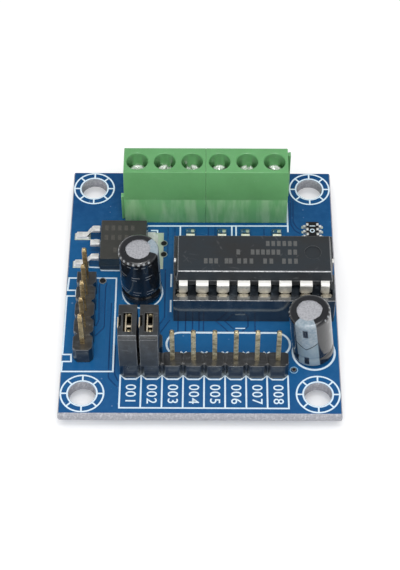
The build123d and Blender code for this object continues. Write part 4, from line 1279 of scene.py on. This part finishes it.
@dataclass
class ScrewTerminal(Assembly):
    """A three-way screw terminal block. Sizes are in mm."""

    side: str
    first_x: float
    first_way: int
    turns: tuple[float, ...]
    inner_x: float
    pitch: float = 3.5
    edge: float = 0.08
    closed_by: float = 0.028
    top: float = 10.0
    hole_radius: float = 1.37
    hole_rim: float = 0.18
    screw_y: float = 13.64
    head_radius: float = 1.25
    head_top: float = 8.05
    head_bottom: float = 6.8
    shank_radius: float = 0.8
    shank_bottom: float = 4.45
    slot_half: float = 0.2
    slot_depth: float = 0.5
    dish: float = 0.1

    def off_hole(self, at: Vector) -> float:
        """How far a place lies from the axis of the nearest screw hole, in mm."""
        return min(math.hypot(at.x - self.first_x - way * self.pitch, at.y - self.screw_y) for way in range(3))

    def edge_paleness(self, at: Vector) -> float:
        """How pale an edge of the block is made: most along the front of its top."""
        return 1.0 if at.z > self.top - 0.15 and at.y < self.screw_y - self.hole_radius - self.hole_rim else 0.1

    def housing(self) -> None:
        """The moulding, with polished screw holes and hardly a gap to the block beside it."""
        name = f"terminal_housing_{self.side}"
        shape = merged_copy(name)
        for vert in shape.verts:
            if abs(vert.co.x - self.inner_x * MM) < 0.02 * MM:
                vert.co.x += math.copysign(self.closed_by, self.inner_x - self.first_x) * MM
        round_edges(shape, self.hole_rim, segments=4, wear=0.0, chosen=lambda edge: middle(edge).z > self.top - 0.01
                    and self.off_hole(middle(edge)) < self.hole_radius + 0.02)
        round_edges(shape, self.edge, least=30.0, wear=self.edge_paleness,
                    chosen=lambda edge: self.off_hole(middle(edge)) > self.hole_radius + self.hole_rim + 0.05)
        layer = shape.loops.layers.float.new(POLISHED)
        for face in shape.faces:
            spot = face.calc_center_median() / MM
            if self.off_hole(spot) < self.hole_radius + self.hole_rim and spot.z > self.head_bottom and spot.z < self.top - 0.001:
                for loop in face.loops:
                    loop[layer] = 1.0
        self.add(f"{name}_moulding", shape, Finish.GREEN, Slot.GREEN, instead_of=[name])

    def screw(self, x: float, turn: float) -> Shape:
        """One turned screw with a dished, slotted head.

        Args:
            x: Its place along the board.
            turn: How far its slot is turned, in degrees.

        Returns:
            Its mesh.
        """
        head, top, low = self.head_radius, self.head_top, self.head_bottom
        outline = [(0.0, top - self.dish), (head * 0.5, top - self.dish * 0.9), (head * 0.74, top - self.dish * 0.35),
                   (head * 0.86, top), (head * 0.94, top - 0.02), (head, top - 0.12), (head, low + 0.08),
                   (head - 0.08, low), (self.shank_radius, low), (self.shank_radius, self.shank_bottom + 0.15),
                   (self.shank_radius - 0.15, self.shank_bottom), (0.0, self.shank_bottom)]
        shape = bmesh.new()
        points = [shape.verts.new((r * MM, 0, z * MM)) for r, z in outline]
        edges = [shape.edges.new(pair) for pair in zip(points, points[1:])]
        bmesh.ops.spin(shape, geom=points + edges, cent=(0, 0, 0), axis=(0, 0, 1), angle=2 * math.pi, steps=48,
                       use_merge=True)
        bmesh.ops.remove_doubles(shape, verts=shape.verts[:], dist=0.001 * MM)
        bmesh.ops.recalc_face_normals(shape, faces=shape.faces[:])
        wall = 0.02
        for y in (-self.slot_half - wall, -self.slot_half, self.slot_half, self.slot_half + wall):
            bmesh.ops.bisect_plane(shape, geom=shape.verts[:] + shape.edges[:] + shape.faces[:], dist=1e-7,
                                   plane_co=(0, y * MM, 0), plane_no=(0, 1, 0))
        slot = [vert for vert in shape.verts if abs(vert.co.y) < (self.slot_half + wall / 2) * MM
                and vert.co.z > (top - self.dish - 0.05) * MM]
        for vert in slot:
            vert.co.z = (top - self.slot_depth) * MM
        layer = shape.verts.layers.float.new(FROM_AXIS)
        for vert in shape.verts:
            vert[layer] = math.hypot(vert.co.x, vert.co.y) / MM
        bmesh.ops.rotate(shape, cent=(0, 0, 0), matrix=Matrix.Rotation(math.radians(turn), 3, "Z"), verts=shape.verts[:])
        bmesh.ops.translate(shape, verts=shape.verts[:], vec=(x * MM, self.screw_y * MM, 0))
        return shape

    def make(self) -> None:
        """Makes the housing, its contacts, and each way's screw and clamp."""
        contacts = f"terminal_contacts_{self.side}"
        self.housing()
        self.soften(contacts, f"{contacts}_set", Finish.TIN, Slot.TIN, 0.03)
        for index, turn in enumerate(self.turns):
            way = self.first_way + index
            screw, clamp = f"terminal_screw_{way}", f"terminal_clamp_{way}"
            self.add(f"{screw}_turned", self.screw(self.first_x + index * self.pitch, turn), Finish.STEEL, Slot.STEEL,
                     body=f"screw_{way}", instead_of=[screw])
            self.soften(clamp, f"{clamp}_bent", Finish.CLAMP, Slot.CLAMP, 0.05, body=f"clamp_{way}")


@dataclass
class DriverChip(Assembly):
    """The driver chip in its socket. Sizes are in mm."""

    top: float = 8.82
    socket_top: float = 5.9
    dimple: Point = (13.75, -0.14)
    socket_half: float = 5.01
    chip_half: float = 9.6
    mark_height: float = 0.8
    mark_width: float = 0.44
    mark_pitch: float = 0.66
    centre_x: float = 6.55
    centre_y: float = -0.34
    pin_pitch: float = 2.54
    pins: int = 8
    lead_y: float = 3.935
    rows: tuple[tuple[float, tuple[Point, ...]], ...] = (
        (1.22, ((7.9, 11.96),)),
        (-0.13, ((4.26, 4.93), (6.04, 9.84), (10.57, 11.92))),
        (-1.53, ((0.3, 2.2), (2.9, 3.9), (4.31, 6.57), (7.48, 9.01), (9.8, 12.0))),
    )

    def off_dimple(self, edge: bmesh.types.BMEdge) -> float:
        """How far an edge lies from the middle of the pin one dimple."""
        spot = middle(edge)
        return math.hypot(spot.x - self.dimple[0], spot.y - self.dimple[1]) if spot.z > self.top - 0.3 else math.inf

    def marks(self) -> None:
        """Rows of plain blocks where such a chip is marked."""
        lines = FlatLines(self.mark_width, 0.003, self.top)
        for y, words in self.rows:
            for start, end in words:
                blocks(lines, y, start, end, self.mark_pitch, self.mark_height)
        self.lines("driver_chip_marks", lines, Finish.CHIP_MARK, Slot.EPOXY)

    def wipers(self) -> None:
        """The curved lips of the socket's contacts, in front of each lead."""
        shape = bmesh.new()
        for index in range(self.pins):
            x = self.centre_x + (index - (self.pins - 1) / 2) * self.pin_pitch
            for side in (-1, 1):
                for half, start, end, top in ((0.56, 0.02, 0.64, 0.02), (0.7, 0.01, 0.3, -0.12)):
                    near, far = (self.centre_y + side * (self.lead_y + out) for out in (start, end))
                    slab(shape, (x - half, min(near, far), self.socket_top - 0.8),
                         (x + half, max(near, far), self.socket_top + top))
        round_edges(shape, 0.1, segments=4, wear=0.0)
        self.add("socket_wipers", shape, Finish.WIPER, Slot.TIN)

    def socket_wear(self, at: Vector) -> float:
        """How pale an edge of the socket is made: most along the outer edges of its top, where it is worn, and a little
        at its foot, where the paler edge is a painted reflection of the board.
        """
        if abs(at.y - self.centre_y) < self.socket_half - 0.15:
            return 0.05
        return 1.0 if at.z > self.socket_top - 0.1 else 0.5 if at.z < DECK + 0.15 else 0.2

    def chip_wear(self, at: Vector) -> float:
        """How strongly an edge of the chip is painted as a highlight: most along the front of its top, and not round
        the dimple.
        """
        if at.z < self.top - 0.12 or abs(at.x - self.centre_x) > self.chip_half - 0.4:
            return 0.3
        return 1.0 if at.y < self.centre_y - 2.0 else 0.1

    def socket(self) -> None:
        """The socket, whose upper edges are the most worn."""
        shape = merged_copy("chip_socket")
        round_edges(shape, 0.06, wear=self.socket_wear)
        self.add("chip_socket_moulding", shape, Finish.SOCKET, Slot.SOCKET, instead_of=["chip_socket"])

    def make(self) -> None:
        """Makes the socket, the chip and their metal."""
        self.socket()
        self.soften("socket_contacts", "socket_contact_set", Finish.TIN, Slot.TIN, 0.02)
        shape = merged_copy("driver_chip")
        round_edges(shape, 0.09, wear=self.chip_wear, chosen=lambda edge: self.off_dimple(edge) > 1.2)
        round_edges(shape, 0.04, wear=0.1, least=60.0, chosen=lambda edge: self.off_dimple(edge) < 1.2)
        self.add("driver_chip_moulding", shape, Finish.EPOXY, Slot.EPOXY, instead_of=["driver_chip"])
        self.soften("driver_chip_leads", "driver_chip_lead_set", Finish.LEAD, Slot.TIN, 0.035)
        self.wipers()
        self.marks()


@dataclass
class Regulator(Assembly):
    """The voltage regulator with its bent leads and its soldered tab. Sizes are in mm."""

    x: float = -9.9
    y: float = 5.7
    half_length: float = 3.05
    lead_pitch: float = 2.28
    toe: float = -16.05
    heel: float = -14.6
    foot_top: float = 2.2
    tab_end: float = -5.9
    tab_half: float = 2.65
    top: float = 4.0

    def leads(self) -> None:
        """The two outer leads, with their bends drawn round."""
        shape = merged_copy("regulator_leads")
        bends = [edge for edge in shape.edges if len(edge.link_faces) == 2
                 and abs(edge.verts[0].co.y - edge.verts[1].co.y) > 0.5 * MM
                 and 20 < math.degrees(edge.calc_face_angle(0.0)) < 75]
        bmesh.ops.bevel(shape, geom=bends, offset=0.2 * MM, offset_type="OFFSET", segments=5, profile=0.5,
                        affect="EDGES", material=-1, clamp_overlap=False)
        round_edges(shape, 0.06, least=60.0)
        self.add("regulator_lead_pair", shape, Finish.DULL_TIN, Slot.TIN, instead_of=["regulator_leads"])

    def fillets(self) -> None:
        """The solder round the leads' feet and the tab."""
        shape = bmesh.new()
        for side in (-1, 1):
            y = self.y + side * self.lead_pitch
            mound(shape, (self.toe - 0.25, y - 0.5, PAD_TOP), (self.heel + 0.25, y + 0.5, PAD_TOP + 0.24), 0.86)
        mound(shape, (self.tab_end - 0.1, self.y - self.tab_half - 0.1, PAD_TOP),
              (self.tab_end + 0.35, self.y + self.tab_half + 0.1, PAD_TOP + 0.22), 0.9)
        round_edges(shape, 0.11, segments=5, least=20.0)
        self.add("regulator_solder", shape, Finish.DULL_TIN, Slot.TIN)

    def marks(self) -> None:
        """Faint plain blocks where such a regulator is marked."""
        lines = FlatLines(0.44, 0.003, self.top)
        for y, start, end in ((7.53, -12.5, -8.35), (5.97, -12.5, -9.1), (3.93, -11.4, -10.4)):
            blocks(lines, y, start, end, 0.78, 0.8)
        self.lines("regulator_marks", lines, Finish.FAINT_MARK, Slot.REGULATOR)

    def make(self) -> None:
        """Makes the body, the tab, the leads and their solder."""
        self.soften("regulator_body", "regulator_moulding", Finish.REGULATOR, Slot.REGULATOR, 0.07)
        self.soften("regulator_tab", "regulator_tab_plate", Finish.DULL_TIN, Slot.TIN, 0.05)
        self.leads()
        self.fillets()
        self.marks()


@dataclass
class Capacitor(Assembly):
    """A leaning electrolytic capacitor. Sizes are in mm."""

    side: str
    x: float
    y: float
    lean: float
    crimp_depth: float
    finish: Finish
    radius: float = 2.5
    thickness: float = 0.1
    bottom: float = 0.6
    height: float = 8.05
    shoulder: float = 0.45
    crimp_rise: float = 1.3
    crimp_width: float = 0.8
    lip: float = 0.98
    steps: int = 96

    def stand(self) -> Matrix:
        """The turn and place that stand the capacitor on the board."""
        return Matrix.Translation((self.x * MM, self.y * MM, DECK * MM)) @ Matrix.Rotation(math.radians(-self.lean), 4, "Y")

    def outline(self, inset: float) -> list[Point]:
        """The sleeve's outline from its foot to its lip.

        Args:
            inset: How far inside the outer face it runs.

        Returns:
            Radius and height pairs.
        """
        radius, edge = self.radius - inset, self.shoulder - inset
        top = self.bottom + self.height - inset
        crimp = self.bottom + self.crimp_rise
        path = [(radius, self.bottom)]
        for step in range(9):
            share = step / 8
            path.append((radius - math.sin(math.pi * share) * self.crimp_depth, crimp + (share - 0.5) * self.crimp_width))
        for step in range(7):
            angle = math.radians(15 * step)
            path.append((radius - edge + edge * math.cos(angle), top - edge + edge * math.sin(angle)))
        path.append((self.radius - self.lip + 0.06, top))
        path.append((self.radius - self.lip, top - inset * 0.3))
        return path

    def sleeve(self) -> None:
        """The shrunk film with its uneven lip, laid out for its stripe."""
        shape = bmesh.new()
        outline = self.outline(0.0) + self.outline(self.thickness)[::-1]
        points = [shape.verts.new((r * MM, 0, z * MM)) for r, z in outline]
        edges = [shape.edges.new(pair) for pair in zip(points, points[1:] + points[:1])]
        bmesh.ops.spin(shape, geom=points + edges, cent=(0, 0, 0), axis=(0, 0, 1), angle=2 * math.pi,
                       steps=self.steps, use_merge=True)
        bmesh.ops.remove_doubles(shape, verts=shape.verts[:], dist=0.001 * MM)
        bmesh.ops.recalc_face_normals(shape, faces=shape.faces[:])
        for vert in shape.verts:
            out = math.hypot(vert.co.x, vert.co.y) / MM
            if out < self.radius - self.lip + 0.15:
                turn = math.atan2(vert.co.y, vert.co.x)
                drift = 0.035 * math.sin(3 * turn + self.x) + 0.02 * math.sin(7 * turn) + 0.012 * math.sin(16 * turn)
                vert.co.x *= 1 + drift / out
                vert.co.y *= 1 + drift / out
        layer = shape.loops.layers.uv.new("round_the_can")
        for face in shape.faces:
            centre = face.calc_center_median()
            base = math.atan2(centre.y, centre.x) / (2 * math.pi)
            for loop in face.loops:
                turn = math.atan2(loop.vert.co.y, loop.vert.co.x) / (2 * math.pi)
                loop[layer].uv = (turn + round(base - turn), (loop.vert.co.z / MM - self.bottom) / self.height)
        bmesh.ops.transform(shape, matrix=self.stand(), verts=shape.verts[:])
        name = f"capacitor_{self.side}_sleeve"
        self.add(f"{name}_film", shape, self.finish, Slot.SLEEVE, instead_of=[name], crease=60.0)

    def make(self) -> None:
        """Makes the sleeve, the can and what closes it."""
        self.sleeve()
        self.soften(f"capacitor_{self.side}_can", f"capacitor_{self.side}_drawn_can", Finish.CAN, Slot.CAN, 0.04, least=40.0)
        self.soften(f"capacitor_{self.side}_bung", f"capacitor_{self.side}_moulded_bung", Finish.RUBBER, Slot.RUBBER, 0.05,
                    least=40.0)
        self.soften(f"capacitor_{self.side}_leads", f"capacitor_{self.side}_wires", Finish.TIN, Slot.TIN, 0.03, least=40.0)


@dataclass
class ResistorNetwork(Assembly):
    """The small block of four resistors. Sizes are in mm."""

    x: float = 14.35
    y: float = 8.48
    top: float = 2.3
    rows: tuple[float, ...] = (-1.2, -0.4, 0.4, 1.2)
    half_width: float = 0.8

    def mark(self) -> None:
        """A plain bar and ring on the block's glaze."""
        lines = FlatLines(0.13, 0.004, self.top)
        lines.path([(self.x - 0.36, self.y + 0.9), (self.x + 0.36, self.y + 0.9)])
        lines.ring((self.x - 0.04, self.y + 0.12), 0.26, 20)
        self.lines("resistor_network_mark", lines, Finish.PRINT, Slot.CERAMIC)

    def make(self) -> None:
        """Makes the block, its end caps, their solder and the mark."""
        self.soften("resistor_network_body", "resistor_network_block", Finish.CERAMIC, Slot.CERAMIC, 0.04)
        self.soften("resistor_network_ends", "resistor_network_caps", Finish.DULL_TIN, Slot.TIN, 0.05)
        shape = bmesh.new()
        for side in (-1, 1):
            for row in self.rows:
                inner, outer = self.x + side * (self.half_width - 0.02), self.x + side * (self.half_width + 0.45)
                mound(shape, (min(inner, outer), self.y + row - 0.2, PAD_TOP), (max(inner, outer), self.y + row + 0.2, PAD_TOP + 0.28), 0.6)
        round_edges(shape, 0.06, segments=3)
        self.add("resistor_network_solder", shape, Finish.DULL_TIN, Slot.TIN)
        self.mark()


@dataclass
class Indicators(Assembly):
    """The four small lamps behind the chip. Sizes are in mm."""

    places: tuple[float, ...] = (-1.39, 2.66, 5.68, 9.73)
    y: float = 7.96
    top: float = 2.6
    half_length: float = 1.0

    def inlays(self, name: str, finish: Finish, slot: Slot, boxes: Sequence[tuple[float, float, float, float]]) -> None:
        """Adds the same thin inlays to the top of each lamp.

        Args:
            name: The piece's name.
            finish: Its finish.
            slot: The record's slot.
            boxes: For each inlay its left, right, front and rear sides, from the lamp's middle.
        """
        shape = bmesh.new()
        for x in self.places:
            for left, right, front, rear in boxes:
                slab(shape, (x + left, self.y + front, self.top - 0.02), (x + right, self.y + rear, self.top + 0.012))
        round_edges(shape, 0.01, wear=0.0)
        self.add(name, shape, finish, slot)

    def make(self) -> None:
        """Makes the lamps, what shows through their resin, and their solder."""
        shape = bmesh.new()
        for index, x in enumerate(self.places, start=1):
            name = f"indicator_{index}"
            self.soften(f"{name}_base", f"{name}_carrier", Finish.CARRIER, Slot.CARRIER, 0.03)
            self.soften(f"{name}_lens", f"{name}_resin", Finish.LENS, Slot.LENS, 0.05, segments=3)
            self.soften(f"{name}_ends", f"{name}_caps", Finish.SHADED_TIN, Slot.TIN, 0.04)
            for side in (-1, 1):
                inner, outer = self.y + side * (self.half_length - 0.02), self.y + side * (self.half_length + 0.26)
                mound(shape, (x - 0.55, min(inner, outer), PAD_TOP), (x + 0.55, max(inner, outer), PAD_TOP + 0.25), 0.75)
        round_edges(shape, 0.06, segments=3)
        self.add("indicator_solder", shape, Finish.SHADED_TIN, Slot.TIN)
        self.inlays("indicator_reflectors", Finish.LAMP_WHITE, Slot.LENS, [(-0.54, 0.54, -0.54, -0.2)])
        self.inlays("indicator_patches", Finish.PAD, Slot.LENS, [(0.05, 0.48, 0.06, 0.5), (-0.5, -0.4, 0.24, 0.34)])
        self.inlays("indicator_marks", Finish.LAMP_GREEN, Slot.LENS, [(-0.36, -0.04, -0.19, 0.0), (0.1, 0.42, -0.19, 0.02)])


@dataclass
class Soldering(Assembly):
    """The tinned pads on top and the soldered joints underneath. Sizes are in mm."""

    def make(self) -> None:
        """Makes the pads and the joints."""
        self.soften("surface_pads", "tinned_pads", Finish.PAD, Slot.TIN, 0.06, segments=3)
        self.add("soldered_joints", merged_copy("solder_joints"), Finish.SOLDER, Slot.TIN, instead_of=["solder_joints"])


@dataclass
class Studio:
    """The pale floor, the soft light and the camera at the photograph's angle. Lengths are in metres but for the eye."""

    floor_size: float = 3.0
    floor_level: float = -1.5
    lens: float = 102.89
    eye: tuple[float, float, float] = (1.244, -124.325, 165.415)
    yaw: float = -0.6274
    pitch: float = 52.7475
    roll: float = -0.2609
    fill: float = 0.42
    ceiling: float = 0.32
    lamps: tuple[tuple[str, tuple[float, float, float], float, float], ...] = (
        ("overhead_softbox", (0.0, -0.07, 0.37), 0.28, 0.62),
        ("front_softbox", (0.0, -0.32, 0.32), 0.35, 0.68),
        ("bare_lamp", (0.012, -0.09, 0.388), 0.035, 0.16),
    )

    def camera(self) -> None:
        """The camera, set as the scene's."""
        yaw, pitch, roll = (math.radians(angle) for angle in (self.yaw, self.pitch, self.roll))
        look = Vector((math.sin(yaw) * math.cos(pitch), math.cos(yaw) * math.cos(pitch), -math.sin(pitch)))
        right = look.cross(Vector((0, 0, 1))).normalized()
        up = right.cross(look)
        turned = right * math.cos(roll) + up * math.sin(roll)
        risen = up * math.cos(roll) - right * math.sin(roll)
        data = bpy.data.cameras.new("camera")
        data.lens, data.sensor_width, data.clip_start = self.lens, 36.0, 0.005
        camera = bpy.data.objects.new("camera", data)
        camera.matrix_world = Matrix.Translation(Vector(self.eye) * MM) @ Matrix((turned, risen, -look)).transposed().to_4x4()
        bpy.context.scene.collection.objects.link(camera)
        bpy.context.scene.camera = camera

    @staticmethod
    def mirrored(graph: Graph) -> Socket:
        """1 for glossy and transmission rays."""
        path = graph.add("LightPath").outputs
        return graph.maths("MAXIMUM", path["Is Glossy Ray"], path["Is Transmission Ray"])

    def floor(self) -> None:
        """A plain pale floor that keeps the object's shadow."""
        shape = bmesh.new()
        bmesh.ops.create_grid(shape, x_segments=1, y_segments=1, size=self.floor_size,
                              matrix=Matrix.Translation((0, 0, self.floor_level * MM)))
        mesh = bpy.data.meshes.new("floor")
        shape.to_mesh(mesh)
        shape.free()
        recipe = Recipe("pale_floor")
        seen = recipe.maths("MAXIMUM", self.mirrored(recipe), recipe.add("LightPath").outputs["Is Camera Ray"])
        recipe.set(Base_Color=(0.8, 0.8, 0.8), Roughness=1.0, Specular_IOR_Level=0.0, Emission_Color=(1.0, 1.0, 1.0),
                   Emission_Strength=recipe.maths("MULTIPLY", seen, 0.27))
        mesh.materials.append(recipe.material)
        floor = bpy.data.objects.new("floor", mesh)
        bpy.context.scene.collection.objects.link(floor)

    def softboxes(self) -> None:
        """The soft lamps, each with its place, its size and its power, turned to the object."""
        for name, place, size, power in self.lamps:
            data = bpy.data.lights.new(name, "AREA")
            data.size, data.energy = size, power
            lamp = bpy.data.objects.new(name, data)
            lamp.location = place
            lamp.rotation_euler = Vector(place).to_track_quat("Z", "Y").to_euler()
            lamp.visible_camera = False
            bpy.context.scene.collection.objects.link(lamp)

    def surroundings(self) -> None:
        """The world: white to the camera, even fill light, and in reflections white walls below a dim ceiling."""
        world = bpy.data.worlds.new("studio")
        world.use_nodes = True
        graph = Graph(world.node_tree)
        rise = graph.axes(graph.add("TexCoord").outputs["Generated"])[2]
        walls = graph.span(rise, math.sin(math.radians(20)), math.sin(math.radians(42)), 1.0, self.ceiling)
        camera = graph.add("LightPath").outputs["Is Camera Ray"]
        strength = graph.span(self.mirrored(graph), 0.0, 1.0, self.fill, walls)
        strength = graph.span(camera, 0.0, 1.0, strength, 1.0)
        background = graph.add("Background", {"Color": (1.0, 1.0, 1.0), "Strength": strength})
        output = graph.add("OutputWorld")
        graph.tree.links.new(background.outputs[0], output.inputs["Surface"])
        bpy.context.scene.world = world

    def build(self) -> None:
        """Builds the studio."""
        bpy.context.scene.view_settings.view_transform = "Standard"
        self.camera()
        self.floor()
        self.softboxes()
        self.surroundings()


def main() -> None:
    """Builds the dressed module and its studio, and reports each piece."""
    logging.basicConfig(level=logging.INFO, format="%(message)s")
    assemblies = [
        Board(),
        PinStrip("input_header", first_groove=-7.14, grooves=7, rear=-11.45),
        PinStrip("enable_header", first_groove=-7.14, grooves=1),
        PinStrip("side_header", pin_finish=Finish.BRONZE_PIN),
        JumperCap("left", -8.41),
        JumperCap("right", -5.87),
        ScrewTerminal("left", -8.19, 1, (20, 65, 110), 0.53),
        ScrewTerminal("right", 2.31, 4, (35, 80, 140), 0.59),
        DriverChip(),
        Regulator(),
        Capacitor("left", -7.38, -0.85, 1.6, 0.22, Finish.SLEEVE_LEFT),
        Capacitor("right", 13.88, -9.95, 6.5, 0.1, Finish.SLEEVE_RIGHT),
        ResistorNetwork(),
        Indicators(),
        Soldering(),
    ]
    for assembly in assemblies:
        for piece in assembly.build():
            log.info("%s: %s rides on %s, %d faces", type(assembly).__name__, piece.name, piece["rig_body"],
                     len(piece.data.polygons))
    Studio().build()


if __name__ == "__main__":
    main()
